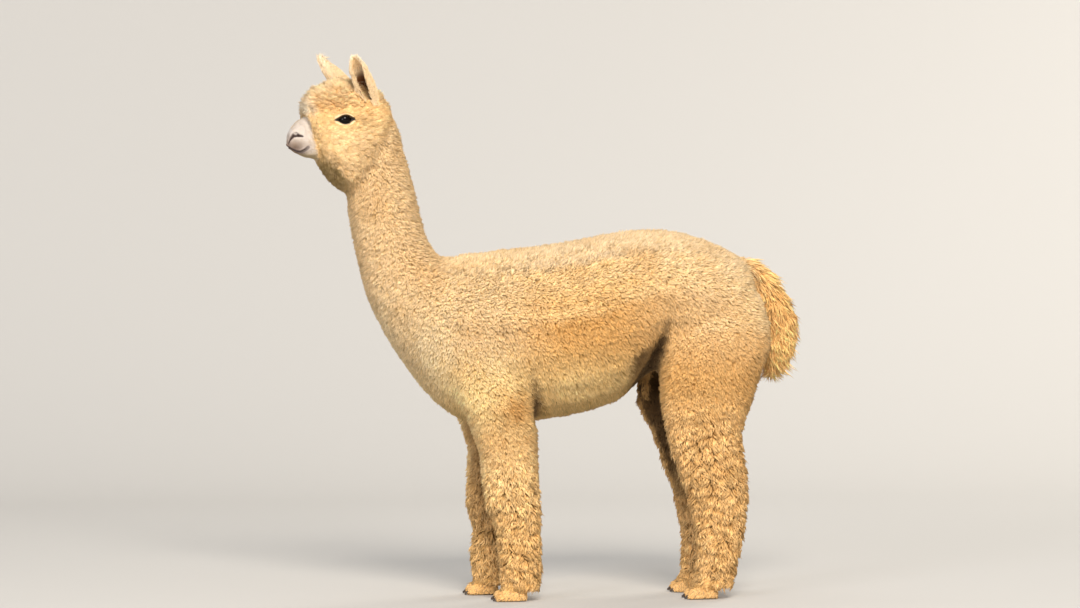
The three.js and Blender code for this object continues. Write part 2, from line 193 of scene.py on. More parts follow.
source, source_tree, source_owner = outline_source()
fine, plain, feet = (remeshed(source, v) for v in (HEAD_VOXEL, BODY_VOXEL, FOOT_VOXEL))
whole = bridged([
    slab(fine, NECK_SPLIT + SPLIT_BAND, None),
    slab(plain, FOOT_SPLIT + SPLIT_BAND, NECK_SPLIT - SPLIT_BAND),
    slab(feet, None, FOOT_SPLIT - SPLIT_BAND)])
subdivided(whole, lambda p: (gap_to_eyes(p) < 0.034) | by_the_lips(p))
subdivided(whole, lambda p: gap_to_eyes(p) < 0.030)
bmesh.ops.triangulate(whole, faces=whole.faces[:])
outline = finished("outline", whole)


def arrays(mesh):
    """A mesh of triangles as its points and the three corners of each face."""
    places = np.empty(len(mesh.vertices) * 3)
    mesh.vertices.foreach_get("co", places)
    corners = np.empty(len(mesh.polygons) * 3, np.int32)
    mesh.polygons.foreach_get("vertices", corners)
    return places.reshape(-1, 3), corners.reshape(-1, 3)


outer, faces = arrays(outline)
links = np.unique(np.sort(np.concatenate(
    [faces[:, (0, 1)], faces[:, (1, 2)], faces[:, (2, 0)]]), axis=1), axis=0)
link_count = np.bincount(links.ravel(), minlength=len(outer))[:, None]


def neighbour_mean(values):
    """The mean of each vertex's neighbours, for one or more columns of values."""
    total = np.empty_like(values)
    for column in range(values.shape[1]):
        total[:, column] = (
            np.bincount(links[:, 0], values[links[:, 1], column], len(values))
            + np.bincount(links[:, 1], values[links[:, 0], column], len(values)))
    return total / link_count


def spread(values, rounds, share=1.0):
    """Values eased towards their neighbours', by a share that may differ from place to place."""
    flat = values.reshape(len(values), -1).astype(float)
    share = np.reshape(share, (-1, 1))
    for _ in range(rounds):
        flat = flat + share * (neighbour_mean(flat) - flat)
    return flat.reshape(values.shape)


def unit(vectors):
    """The vectors' directions, each of length 1."""
    return vectors / np.maximum(np.linalg.norm(vectors, axis=-1, keepdims=True), 1e-12)


def normals_of(places):
    """The way out of the surface at each vertex, when its vertices are at the given places."""
    a, b, c = (places[faces[:, i]] for i in range(3))
    across = np.cross(b - a, c - a)
    total = np.empty_like(places)
    for column in range(3):
        total[:, column] = sum(np.bincount(faces[:, i], across[:, column], len(places))
                               for i in range(3))
    return unit(total)


def ease(value, low, high):
    """0 below low, 1 above high, and smooth between."""
    t = np.clip((value - low) / (high - low), 0, 1)
    return t * t * (3 - 2 * t)


def fade(value, low, high):
    """1 below low, 0 above high, and smooth between."""
    return 1 - ease(value, low, high)


def bell(off, width):
    """1 where off is 0, falling away smoothly on both sides."""
    return np.exp(-(off / width) ** 2)


def drift(points, length, seed):
    """A soft random field between about -1 and 1 that turns over in the given length."""
    random = np.random.default_rng(seed)
    waves = unit(random.normal(size=(10, 3))) * (2 * math.pi / length)
    waves = waves * random.uniform(0.6, 1.5, (10, 1))
    return np.sin(points @ waves.T + random.uniform(0, 2 * math.pi, 10)).mean(-1) * 2.2


owner = np.array([source_owner[source_tree.find_nearest(Vector(p))[2]] for p in outer])
is_on = {name: owner == number for number, name in enumerate(FLESH)}


def on_kind(kind):
    """Whether each vertex is on a node whose name ends in the given word."""
    return np.any([is_on[name] for name in FLESH if name.endswith(kind)], 0)


ear_part = on_kind("ear")
body_wool = np.where(ear_part | is_on["muzzle"], 0.0, 1.0)  # 0 on the ears and the muzzle
eye_gap = gap_to_eyes(outer)
low_foot = on_kind("foot") * fade(outer[:, 2], 0.040, 0.052)

# The facets of the solids are eased away, there and back so that nothing shrinks.
EASINGS, THERE_AND_BACK = 45, 1.045
firm = np.where(ear_part, 0.5, 0.6) * ease(eye_gap, 0.030, 0.050) * (1 - 0.4 * low_foot)
for _ in range(EASINGS):
    outer = spread(outer, 1, firm)
    outer = spread(outer, 1, -THERE_AND_BACK * firm)
outer = spread(outer, 2, 0.5 * firm * body_wool)


def on_ear(name):
    """The vertices of one ear, how far each is towards its tip, and its way from the midline."""
    rows = np.flatnonzero(is_on[name])
    places = outer[rows]
    root = places[places[:, 2] < np.quantile(places[:, 2], 0.12)].mean(0)
    tip = places[places[:, 2] > np.quantile(places[:, 2], 0.98)].mean(0)
    way = unit(tip - root)
    along = (places - root) @ way / np.linalg.norm(tip - root)
    centre = np.stack([np.polyval(np.polyfit(along, places[:, i], 2), along) for i in range(3)], 1)
    from_centre = places - centre
    return rows, np.clip(along, 0, 1), from_centre - (from_centre @ way)[:, None] * way


EAR_ENDS = {"left_ear": 0.34, "right_ear": 0.1}  # how much fuller and rounder each one's end is
for name, share in EAR_ENDS.items():
    rows, along, from_centre = on_ear(name)
    fuller = share * ease(along, 0.55, 0.85)
    outer[rows] += from_centre * fuller[:, None]
outer_normal = normals_of(outer)
ahead, side, up = in_head(outer).T


def gap_to(line, points):
    """Each point's distance from a line of points, and how far along the line it lies."""
    tree = KDTree(len(line))
    for number, place in enumerate(line):
        tree.insert(place, number)
    tree.balance()
    found = [tree.find(p)[1:] for p in points]
    return np.array([f[1] for f in found]), np.array([f[0] for f in found]) / (len(line) - 1)


def filled(path, steps=12):
    """More points along a line, between those it is given by."""
    path = np.array(path, float)
    ends = np.linspace(0, len(path) - 1, (len(path) - 1) * steps + 1)
    return np.stack([np.interp(ends, np.arange(len(path)), path[:, i]) for i in range(3)], 1)


# In front of each thigh a crease runs down the flank and opens into a hollow between belly and
# leg; another, slighter, lies behind the elbow. Places are given as (x, z).
FLANK_CREASE = [(0.326, 0.850), (0.318, 0.790), (0.306, 0.730), (0.296, 0.690), (0.288, 0.650)]
ELBOW_CREASE = [(-0.066, 0.640), (-0.048, 0.570), (-0.032, 0.510), (-0.024, 0.470)]
CREASE_WIDTHS = ((0.010, 0.009, 0.010, 0.012), (0.010, 0.010, 0.011, 0.012))  # from top to bottom
CREASE_DEPTHS = ((0.002, 0.006, 0.012, 0.016), (0.002, 0.010, 0.014, 0.010))
FULL_FOLD = 0.038 / 2.2  # depth at which a crease counts as wholly in shade
fold = np.zeros(len(outer))
for line, wide, deep in zip((FLANK_CREASE, ELBOW_CREASE), CREASE_WIDTHS, CREASE_DEPTHS):
    gap, along = gap_to(filled([(a, 0, b) for a, b in line]), outer * [1, 0, 1])
    places = np.linspace(0, 1, 4)
    reach = bell(gap, np.interp(along, places, wide)) * ease(np.abs(outer[:, 1]), 0.04, 0.08)
    pressed = reach * np.interp(along, places, deep)
    outer = outer - outer_normal * pressed[:, None]
    fold = np.maximum(fold, pressed / FULL_FOLD)
BELLY_END = ((0.545, 0.222), (0.705, 0.304))  # the rear edge of the belly: (z, x), bottom and top
THIGH_EDGE = ((0.470, 0.286), (0.554, 0.280), (0.705, 0.300))  # the front edge of the thigh
past_belly = outer[:, 0] - np.interp(outer[:, 2], *zip(*BELLY_END))
past_thigh = outer[:, 0] - np.interp(outer[:, 2], *zip(*THIGH_EDGE))
hollow_flank = ease(past_belly, -0.004, 0.012) * fade(past_thigh, -0.006, 0.008)
hollow_flank = hollow_flank * fade(outer[:, 2], 0.670, 0.710) * ease(outer[:, 2], 0.49, 0.53)
outer[:, 1] *= 1 - 0.50 * hollow_flank
sunken = np.maximum(fold, hollow_flank)
outer = spread(outer, 6, 0.6 * ease(spread(sunken, 6), 0.02, 0.2))
outer_normal = normals_of(outer)

# Low soft swells, as of staples of fleece lying together, on a surface a millimetre further in.
SET_BACK = 0.001
swell = 0.0016 * drift(outer, 0.050, 11) + 0.0010 * drift(outer, 0.024, 12)
swell = swell * body_wool * ease(eye_gap, 0.04, 0.07)
swell = spread(swell * (1 - low_foot), 6, 0.5)
outer = outer + outer_normal * (swell - SET_BACK)[:, None] * (swell != 0)[:, None]
outer_normal = normals_of(outer)

# ---- Skin ----
# Bare only on the muzzle, the lids and the soles; elsewhere it lies under the wool by the depth
# of the coat: a few millimetres on the face and ears, over two centimetres on neck and trunk.

COAT_DEPTH = {"trunk": 0.022, "neck": 0.021, "tail": 0.024, "upper_leg": 0.021,
              "lower_leg": 0.018, "foot": 0.012, "ear": 0.0012}
FACE_DEPTH, TOPKNOT_MORE, NAPE_MORE, JAW_MORE = 0.006, 0.014, 0.009, 0.006
BARE_DEPTH = 0.0005
# The wool of the face ends at a ragged line across the muzzle, further back low down.
WOOL_EDGE = ((-0.107, 0.066), (-0.078, 0.070), (-0.055, 0.077), (-0.032, 0.080),
             (-0.008, 0.081), (0.008, 0.091), (0.014, 0.110), (0.022, 0.180))  # (up, ahead)
wool_edge = np.interp(up, *zip(*WOOL_EDGE))
wool_edge = wool_edge + 0.0035 * drift(outer, 0.018, 5) + 1.5 * np.maximum(0, np.abs(side) - 0.0375)
past_wool = ahead - wool_edge

# The lids are bare in an oval, longer towards the corners of the eye than it is high.
LID_OVAL = 1.38
oval = np.array([head_ahead / LID_OVAL, Vector((0, 0, 1)), head_right]).T
lid_gap = np.min([np.linalg.norm((outer - np.array(m)) @ oval, axis=1) for m in eye_middle.values()], 0)


def depth_of_coat():
    """How far the skin lies inside the outline, at each vertex."""
    depth = np.zeros(len(outer))
    for kind, deep in COAT_DEPTH.items():
        depth[on_kind(kind)] = deep
    face = FACE_DEPTH + TOPKNOT_MORE * ease(up, 0.020, 0.045)
    face = face + NAPE_MORE * ease(-ahead, 0.005, 0.055)
    face = face + JAW_MORE * ease(-up, 0.070, 0.130)
    on_face = is_on["head"] | is_on["muzzle"]
    depth[on_face] = face[on_face]
    depth = depth * (1 - 0.92 * low_foot)
    loose = np.where(ear_part, 0.0, 1.0) * (1 - low_foot)
    depth = spread(depth, 24, 0.6 * loose)
    past_edge = np.where(on_face, ease(past_wool, -0.012, 0.003), 0.0)
    depth = depth * (1 - past_edge) + BARE_DEPTH * past_edge
    depth = depth * (1 - 0.6 * ease(spread(sunken, 6), 0.05, 0.5))
    return depth * (0.04 + 0.96 * ease(lid_gap, 0.027, 0.038))


# The skin is sunk in steps, so that it turns with the surface as it goes.
STEPS = 5
depth = depth_of_coat()
skin = outer.copy()
for _ in range(STEPS):
    skin = skin - normals_of(skin) * (depth / STEPS)[:, None]
    skin = spread(skin, 2, (0.5 * ease(depth, 0.004, 0.012))[:, None])


def snapped(path, way=1):
    """A line given in the head's directions, laid on the outline as closely spaced points, or its
    mirror image on the other side of the face (way -1)."""
    path = [(a, way * b, c) for a, b, c in path]
    return np.array([outer_tree.find_nearest(Vector(p))[0] for p in from_head(filled(path))])


# Each nostril is a slit that arches forwards and runs down towards the lip. The mouth dips on each
# side and rises to its corner, and a split runs down to it from between the nostrils. The places
# are in the head's directions: ahead, to the side and up.
NOSTRIL = [(0.104, 0.034, -0.043), (0.114, 0.032, -0.041), (0.122, 0.029, -0.038),
           (0.128, 0.025, -0.041), (0.132, 0.019, -0.050), (0.137, 0.010, -0.062)]
MOUTH = [(0.142, 0.000, -0.071), (0.133, 0.010, -0.076), (0.120, 0.021, -0.086),
         (0.108, 0.028, -0.085), (0.097, 0.034, -0.078), (0.090, 0.037, -0.071)]
SPLIT = [(0.140, 0.0, -0.040), (0.141, 0.0, -0.054), (0.141, 0.0, -0.068)]
outer_tree = BVHTree.FromPolygons(outer.tolist(), faces.tolist())
close = np.flatnonzero(by_the_lips(skin))
carve = np.zeros(len(skin))  # how far the skin is pushed in (and, below zero, out)
nostril_dark, lip_dark, lip_shade = (np.zeros(len(skin)) for _ in range(3))
broad_normal = unit(spread(outer_normal, 16))
for way in (-1, 1):  # the surface round the nostrils is evened before they are sunk into it
    even = np.zeros(len(skin))
    even[close] = fade(gap_to(snapped(NOSTRIL, way), skin[close])[0], 0.006, 0.012)
    skin = spread(skin, 14, 0.6 * even)
for way in (-1, 1):
    gap, along = gap_to(snapped(NOSTRIL, way), skin[close])
    wide = np.interp(along, (0, 0.3, 0.6, 1), (0.0018, 0.0038, 0.0046, 0.0016))
    deep = np.interp(along, (0, 0.2, 0.6, 1), (0.0015, 0.0065, 0.0080, 0.0015))
    carve[close] += deep * bell(gap, wide)
    carve[close] -= 0.0009 * bell(gap - 2.3 * wide, 0.9 * wide)  # the rim
    nostril_dark[close] = np.maximum(nostril_dark[close], fade(gap, 0.7 * wide, 2.0 * wide))
    gap, along = gap_to(snapped(MOUTH, way), skin[close])
    wide = np.interp(along, (0, 0.6, 1), (0.0023, 0.0021, 0.0013))
    deep = np.interp(along, (0, 0.3, 0.8, 1), (0.0030, 0.0042, 0.0030, 0.0005))
    carve[close] += deep * bell(gap, wide)
    carve[close] -= 0.0018 * bell(gap - 0.0052, 0.0030) * fade(along, 0.7, 1.0)  # the lips
    lip_dark[close] = np.maximum(lip_dark[close], fade(gap, 0.0028, 0.0062) * (1 - 0.3 * along))
    lip_shade[close] = np.maximum(lip_shade[close], bell(gap, 0.010) * (1 - 0.6 * along))
gap, along = gap_to(snapped(SPLIT), skin[close])
carve[close] += 0.0030 * bell(gap, 0.0016) * ease(along, 0.0, 0.4)
lip_dark[close] = np.maximum(lip_dark[close], 0.7 * fade(gap, 0.0008, 0.0026))
skin = skin - broad_normal * carve[:, None]

# The lids: the wool-less skin lies on a ball a little larger than the eye, with an almond-shaped
# opening in it. What is inside the opening goes back behind the eye.
EYE_RADIUS, LID_LONG, LID_HIGH, LID_LOW = 0.021, 0.031, 0.0118, 0.0118
LID_BALL, BEHIND_EYE = 0.0232, 0.0165  # radii of the lids' ball and of the skin in the opening
SOCKET = 0.050  # how far from the eye's middle the lids' shape reaches
LASHES_TO = 0.026  # how far ahead of and behind the eye's middle lashes grow


def out_of_head(name):
    """The way that one eye looks."""
    return HEAD_RIGHT * (1 if name == "right" else -1)


def in_eye(points, name):
    """Points as the distances ahead of, above and out from the middle of one eye."""
    away = np.asarray(points, float) - np.array(eye_middle[name])
    return np.stack([away @ HEAD_AHEAD, away[..., 2], away @ out_of_head(name)], -1)


def from_eye(places, name):
    """Places given by those distances, as points of the whole animal."""
    places = np.asarray(places, float)
    return (np.array(eye_middle[name]) + places[..., :1] * HEAD_AHEAD
            + places[..., 1:2] * UPWARDS + places[..., 2:] * out_of_head(name))


LID_TILT = -0.04  # the front corner lies a little lower than the back one


def lid_bow(along):
    """How open the lids are at a distance ahead of the eye's middle: 1 there, 0 at the corners."""
    return np.clip(1 - (along / LID_LONG) ** 2, 0, 1)


def lid_edge(along, upper):
    """Height of the lid's edge at a distance ahead of the eye's middle."""
    bow = lid_bow(along)
    return np.where(upper, LID_HIGH * bow ** 1.15, -LID_LOW * bow ** 1.45) + LID_TILT * along


lid_dark, lid_pale = np.zeros(len(skin)), np.zeros(len(skin))
lash_line = np.zeros(len(skin))  # the edge of the upper lid
for name in eye_middle:
    here = in_eye(skin, name)
    along, height, out = here.T
    reach = np.linalg.norm(here, axis=1)
    off = np.abs(along)
    near = (reach < SOCKET) & (out > 0)
    middle_line = LID_TILT * along
    upper = height > middle_line
    edge = lid_edge(along, upper)
    shut = off >= LID_LONG
    inside = np.abs(height - middle_line) / np.maximum(np.abs(edge - middle_line), 2e-4)
    inside = np.where(shut, 9.0, inside)
    beyond = np.abs(height - edge) * np.where(inside > 1, 1, -1)  # metres outside the opening
    # The ball fades out into the face. The lids' edges are rolled, and a fold lies above them.
    hold = np.where(near, fade(reach, 0.0250, 0.036), 0.0) * ease(out, 0.002, 0.010)
    roll = 0.0016 * bell(beyond - 0.0022, 0.0018)
    crease = -0.0016 * bell(beyond - 0.0085, 0.0018) * upper
    ball = unit(here) * (LID_BALL + roll + crease)[:, None]
    moved = here + (ball - here) * hold[:, None]
    deep_in = np.where(off < EYE_RADIUS, BEHIND_EYE, np.maximum(reach - 0.0035, BEHIND_EYE))
    opened = near & (inside < 1)
    moved = np.where(opened[:, None], unit(here) * deep_in[:, None], moved)
    skin = np.where(near[:, None], from_eye(moved, name), skin)
    corner = ease(off, 0.020, 0.028) * fade(off, 0.035, 0.040)
    corner = corner * fade(np.abs(height - middle_line), 0.0018, 0.0036)
    thin = 0.35 + 0.65 * lid_bow(along)
    dark = np.maximum(fade(beyond, 0.0004, np.where(upper, 0.0028, 0.0015) * thin), 0.95 * corner)
    lid_dark = np.maximum(lid_dark, np.where(near, dark, 0))
    on_edge = upper & near & (off < LASHES_TO) & (beyond > 0) & (beyond < 0.0022)
    lash_line = np.maximum(lash_line, on_edge.astype(float))
    pale = ease(beyond, 0.001, 0.003) * fade(beyond, 0.006, 0.010) * fade(off, 0.024, 0.032)
    lid_pale = np.maximum(lid_pale, np.where(near, pale, 0))

skin_mesh = bpy.data.meshes.new("skin")
skin_mesh.from_pydata(skin.tolist(), [], faces.tolist())
skin_mesh.update()
skin_body = placed("skin", skin_mesh)


def smoothed(mesh):
    """Shades a mesh as one rounded surface."""
    mesh.polygons.foreach_set("use_smooth", np.ones(len(mesh.polygons), bool))


smoothed(skin_mesh)


def linear(code):
    """A colour written as sRGB hex, as the linear light that Blender works in."""
    parts = [int(code[i:i + 2], 16) / 255 for i in (1, 3, 5)]
    return np.array([c / 12.92 if c <= 0.04045 else ((c + 0.055) / 1.055) ** 2.4 for c in parts])


def opaque(code):
    """A colour as a shader's input takes it."""
    return (*linear(code), 1)


def layered(colours, layers):
    """The colours with others laid over them in turn, each by a share for every vertex."""
    for code, share in layers:
        share = np.asarray(share)[:, None]
        colours = colours * (1 - share) + linear(code) * share
    return colours


x, y, z = outer.T
ahead, up = in_head(outer).T[[0, 2]]
facing, forwards = outer_normal[:, 2], outer_normal @ HEAD_AHEAD  # how far each part looks up, ahead
trunk, neck, head, tail = (
    spread(on_kind(kind).astype(float), 14) for kind in ("trunk", "neck", "head", "tail"))
on_head = np.clip(head + is_on["muzzle"], 0, 1)
bare = ease(past_wool, -0.005, 0.001) * on_head

# Warm fawn on the barrel and legs, paler on the rump, paler and less warm on the neck and chest.
# Painted light makes the back and upper flank paler where they face up, and the low barrel lighter,
# as by light from below. Painted shade darkens the belly, the groin, the place behind the elbow, the
# inner sides of the legs, and the creases and the hollow of the flank.
cloudy = 0.5 + 0.5 * drift(outer, 0.13, 21)
dappled = ease(drift(outer, 0.035, 22), 0.1, 0.9)
# painted shade behind the upper arm, by the elbow
elbow = np.exp(-((x + 0.09) / 0.055) ** 2 - ((z - 0.50) / 0.050) ** 2)
# painted shade on the inner sides of the hind and fore legs
inward = ease(-outer_normal[:, 1] * np.sign(y), 0.0, 0.6) * fade(outer_normal[:, 0], 0.1, 0.6)
hind_inner_shade = inward * ease(x, 0.10, 0.16) * ease(z, 0.12, 0.42) * fade(z, 0.60, 0.70)
fore_inner_shade = inward * fade(x, 0.0, 0.06) * ease(z, 0.08, 0.3) * fade(z, 0.46, 0.56)
# painted shade in the groin
groin_shade = ease(x, 0.19, 0.24) * ease(-facing, 0.0, 0.45) * fade(z, 0.64, 0.68) * trunk
in_shade = ease(spread(sunken, 2), 0.12, 0.6) * (1 - 0.6 * ease(y, 0.0, 0.04))
fleece = layered(np.tile(linear("#DFAE6C"), (len(outer), 1)), [
    ("#F2D3A6", 0.85 * neck),
    # painted light: paler where the trunk faces up
    ("#E6D0AE", 0.85 * trunk * ease(facing, 0.0, 0.75)),  # the back
    # painted light: brighter where the flank faces partly up
    ("#FCD698", 0.6 * trunk * ease(facing, 0.0, 0.35) * fade(facing, 0.5, 0.85)),  # below it
    ("#F6DAB0", 0.65 * ease(x, 0.10, 0.44) * ease(z, 0.52, 0.84)),  # the rump
    ("#EFD2A6", 0.85 * trunk * fade(x, -0.18, 0.04)),  # the shoulders
    # painted light: lighter low on the barrel, as by light thrown up from below
    ("#FFE0A2", 0.85 * trunk * fade(z, 0.53, 0.69)),  # low on the barrel
    # painted shade: duller and darker where the belly faces down
    ("#CDAE72", 0.6 * trunk * ease(-facing, 0.45, 0.95)),  # the belly
    ("#EFDAB2", 0.7 * fade(x, -0.34, -0.22) * fade(z, 0.66, 0.86) * ease(z, 0.4, 0.5)),  # the chest
    ("#EEC58C", 0.8 * ease(x, 0.2, 0.3) * fade(z, 0.45, 0.60)),  # the hind legs
    # the fore legs, less so towards the foot
    ("#FFDCA4", 0.8 * fade(x, 0.1, 0.2) * fade(z, 0.36, 0.5) * (0.5 + 0.5 * ease(z, 0.16, 0.32))),
    ("#FFCD8A", tail),
    # painted shade behind the elbow
    ("#C48C48", 0.8 * elbow),
    ("#CF9F5F", 0.22 * ease(cloudy, 0.4, 1.0) * (1 - on_head)),
    ("#C08B4C", 0.34 * dappled * fade(z, 0.45, 0.60)),
    # painted shade on the inner sides of the legs
    ("#38240F", 0.94 * hind_inner_shade),
    ("#9E784A", 0.75 * fore_inner_shade),
    # painted shade in the groin
    ("#4A3118", 0.9 * groin_shade),
    ("#2C1B0D", 0.96 * in_shade)])

# Apricot on the head, paler on the cheeks, cream on the front of the topknot, and nearly white where
# the wool ends. Painted light makes the top of the head paler, and under the jaw painted shade is dull
# olive, with a painted green reflection.
topknot_front = ease(forwards, 0.2, 0.85) * ease(up, 0.004, 0.034) * ease(ahead, 0.018, 0.070)
brow = np.exp(-((ahead - 0.060) / 0.018) ** 2 - ((up - 0.006) / 0.016) ** 2)
jaw_shade = ease(-up, 0.070, 0.115) * ease(0.6 * forwards - 0.8 * facing, 0.42, 0.90)
fleece = layered(fleece, [
    ("#F0CB96", on_head),
    ("#F0CEA0", 0.7 * on_head * ease(-up, 0.005, 0.045) * fade(ahead, 0.03, 0.07)),  # cheeks
    ("#FFCF94", 0.75 * on_head * ease(up, -0.01, 0.03) * fade(up, 0.06, 0.10)),  # above the eyes
    ("#E6D9C4", 0.92 * on_head * topknot_front),
    ("#C79A60", 0.35 * on_head * brow),
    # painted light: paler on the top of the head, where light falls from above
    ("#FFDCAE", 0.85 * on_head * ease(up, 0.035, 0.080)),  # top of the head
    # painted shade under the jaw, dull olive with a painted green reflection
    ("#7D6A3D", 0.85 * on_head * jaw_shade),
    ("#DCCFBF", on_head * ease(past_wool, -0.005, 0.002))])  # where the wool ends

# Under the wool the skin is painted a darker tone of it, as shade among the roots of the locks. Bare, it
# is a pinkish grey, browner on the upper
# lip and round the nostrils and black along the lids.
between_nostrils = ease(ahead, 0.114, 0.134) * fade(np.abs(up + 0.056), 0.010, 0.026)
skin_tint = layered(fleece * 0.7, [
    ("#BDB2A9", bare),
    ("#6C5747", 0.9 * bare * ease(-up, 0.044, 0.066) * ease(ahead, 0.084, 0.122)),  # upper lip
    ("#A08C7C", 0.6 * bare * between_nostrils),
    ("#95804F", 0.75 * bare * ease(-up, 0.080, 0.096)),  # chin
    ("#5E4438", 0.9 * lip_shade),
    ("#2E1D15", 0.95 * lip_dark),
    ("#2E160C", nostril_dark),
    ("#DDBF92", 0.85 * lid_pale),
    ("#0E0806", lid_dark),
    ("#A38560", low_foot)])

# The ears are cream on their backs, palest at the tips, and brown in the depth of the hollow; higher
# up, painted light makes the hollow lighter and warmer against the shade in it.
hollow = np.zeros(len(outer))  # how far each vertex is on the hollow side of its ear
ear_along = np.zeros(len(outer))
for name in EAR_ENDS:
    rows, along, from_centre = on_ear(name)
    hollow[rows] = -(unit(from_centre) * outer_normal[rows]).sum(1)
    ear_along[rows] = along
ear_hollow = np.where(ear_part, ease(hollow, 0.35, 0.75), 0.0)
ear_tint = layered(np.tile(linear("#ECD5B2"), (len(outer), 1)), [
    ("#F4E4CC", ease(ear_along, 0.6, 0.95)),
    ("#74451F", ear_hollow * ease(ear_along, 0.05, 0.14) * fade(ear_along, 0.42, 0.66)),
    # painted light in the upper hollow, against its shade
    ("#FFE0B4", ear_hollow * ease(ear_along, 0.6, 0.8))])
fleece = np.where(ear_part[:, None], ear_tint, fleece)
# painted shade: the skin under the ears' hair is darker
skin_tint = np.where(ear_part[:, None], ear_tint * 0.75, skin_tint)


def node(tree, kind, links=(), **settings):
    """Adds a node. Settings are its properties or, where no such property is, its inputs."""
    made = tree.nodes.new(kind)
    for name, value in settings.items():
        if hasattr(made, name):
            setattr(made, name, value)
        else:
            made.inputs[name.replace("_", " ")].default_value = value
    for name, socket in dict(links).items():
        tree.links.new(socket, made.inputs[name])
    return made


def material(name):
    """A new material and its empty tree."""
    made = bpy.data.materials.new(name)
    made.use_nodes = True
    tree = made.node_tree
    tree.nodes.clear()
    return made, tree


def finish_surface(tree, shader):
    """Makes a shader the surface of its material."""
    out = node(tree, "ShaderNodeOutputMaterial")
    tree.links.new(shader.outputs[0], out.inputs["Surface"])


def painted(mesh, colours):
    """Gives a mesh one colour a vertex, under the name that the materials read."""
    paint = mesh.color_attributes.new("tint", "FLOAT_COLOR", "POINT")
    full = np.concatenate([np.clip(colours, 0, 1), np.ones((len(colours), 1))], 1)
    paint.data.foreach_set("color", full.ravel())


def tinted_material(name, grains, detail, strength, depth, **finish):
    """A material in the mesh's own colours, with a fine relief of so many grains to a metre."""
    made, tree = material(name)
    tint = node(tree, "ShaderNodeAttribute", attribute_name="tint")
    where = node(tree, "ShaderNodeTexCoord")
    grain = node(tree, "ShaderNodeTexNoise", {"Vector": where.outputs["Object"]}, Scale=grains,
                 Detail=detail, Roughness=0.6)
    relief = node(tree, "ShaderNodeBump", {"Height": grain.outputs["Fac"]}, Strength=strength,
                  Distance=depth)
    finish_surface(tree, node(
        tree, "ShaderNodeBsdfPrincipled",
        {"Base Color": tint.outputs["Color"], "Normal": relief.outputs["Normal"]}, **finish))
    return made


# Living skin: a soft broad sheen, as it is fine-pored and a little moist. The pores are 1.1 mm
# apart, coarser than real ones, so that they show.
PORES = 900.0  # to a metre
painted(skin_mesh, skin_tint)
skin_mesh.materials.append(tinted_material(
    "alpaca_skin", PORES, detail=3.0, strength=0.25, depth=0.0006, Roughness=0.62))
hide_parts(*FLESH)
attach(skin_body, "root")

# ---- Eyes ----
# Dark, wet and full: one glossy ball on each side, held in its socket by the lids, with the clear
# front of it bulging a little past the round of the ball.

CORNEA_FROM, BULGE = 0.75, 0.05  # cosine at the cornea's rim, and its rise as a share of the radius


def plain_material(name, **finish):
    """A material of one colour all over."""
    made, tree = material(name)
    finish_surface(tree, node(tree, "ShaderNodeBsdfPrincipled", **finish))
    return made


# An almost black iris under a wet cornea, which mirrors the lamps as small sharp lights.
wet_eye = plain_material("eye", Base_Color=opaque("#0C0705"), Roughness=0.05, IOR=1.22)
for name, middle in eye_middle.items():
    ball = bmesh.new()
    bmesh.ops.create_uvsphere(ball, u_segments=48, v_segments=32, radius=EYE_RADIUS)
    for vertex in ball.verts:
        facing_out = vertex.co.normalized().dot(Vector(out_of_head(name)))
        rise = max(0.0, facing_out - CORNEA_FROM) / (1 - CORNEA_FROM)
        vertex.co = middle + vertex.co * (1 + BULGE * rise)
    mesh = finished(name + "_eyeball", ball)
    smoothed(mesh)
    mesh.materials.append(wet_eye)
    eyeball = placed(name + "_eyeball", mesh)
    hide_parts(name + "_eye")
    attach(eyeball, "root")

# ---- Nails ----
# Two to a foot: short curved claws of horn, grown from the ends of the toes and worn blunt on the
# ground. They are smooth, dark and a little shiny.

# Dark horn, worn to a dull shine.
horn = plain_material("nail_horn", Base_Color=opaque("#3A2C20"), Roughness=0.42)
for name, thing in nodes.items():
    if "nail" in name:
        thing.data.materials.clear()
        thing.data.materials.append(horn)

# ---- The lie of the coat ----
# Wool and hair run back from the nose, outwards from the crown, down the neck and legs, back and
# down over the trunk, and to the tips of ears and tail.

LIE = {"trunk": (0.45, 0, -1), "neck": (0.10, 0, -1), "tail": (0.30, 0, -1),
       "upper_leg": (0.15, 0, -1), "lower_leg": (0.0, 0, -1), "foot": (-0.4, 0, -1), "ear": (0.25, 0, 1)}
CROWN = (-0.035, 0.0, 0.09)  # the whorl that the topknot falls from, in the head's directions
lie = np.zeros_like(outer)
for kind, way in LIE.items():
    lie[on_kind(kind)] = way
face_lie = np.tile(-HEAD_AHEAD + [0, 0, -0.35], (len(outer), 1))
from_crown = unit((outer - from_head(CROWN)) * [1, 1, 0.3]) + [0, 0, -2.0]
lower_ahead = ease(ahead, 0.0, 0.04)
topknot = ease(up, 0.030 - 0.032 * lower_ahead, 0.052 - 0.036 * lower_ahead)[:, None]
face_lie = face_lie * (1 - topknot) + from_crown * topknot
on_face = is_on["head"] | is_on["muzzle"]
lie[on_face] = face_lie[on_face]


def tangent(vectors):
    """The vectors laid flat on the outline."""
    flat = vectors - (vectors * outer_normal).sum(1, keepdims=True) * outer_normal
    return unit(flat)


lie = tangent(spread(tangent(lie), 20, np.where(ear_part, 0.0, 0.7)))

# ---- Fleece of the trunk ----
# Dense crimped wool in small blunt locks, each one a solid tapered tuft rooted on the skin and
# ending at the outline, so close that only the tips show: a plush with a fine stipple. It is made
# first of the coat's pieces, so what makes every piece is here.

face_owner = owner[faces[:, 0]]
face_middle = outer[faces].mean(1)


def of_nodes(*kinds):
    """The faces of every node whose name ends in one of the given words."""
    wanted = [i for i, n in enumerate(FLESH) if n.endswith(kinds)]
    return np.isin(face_owner, wanted)


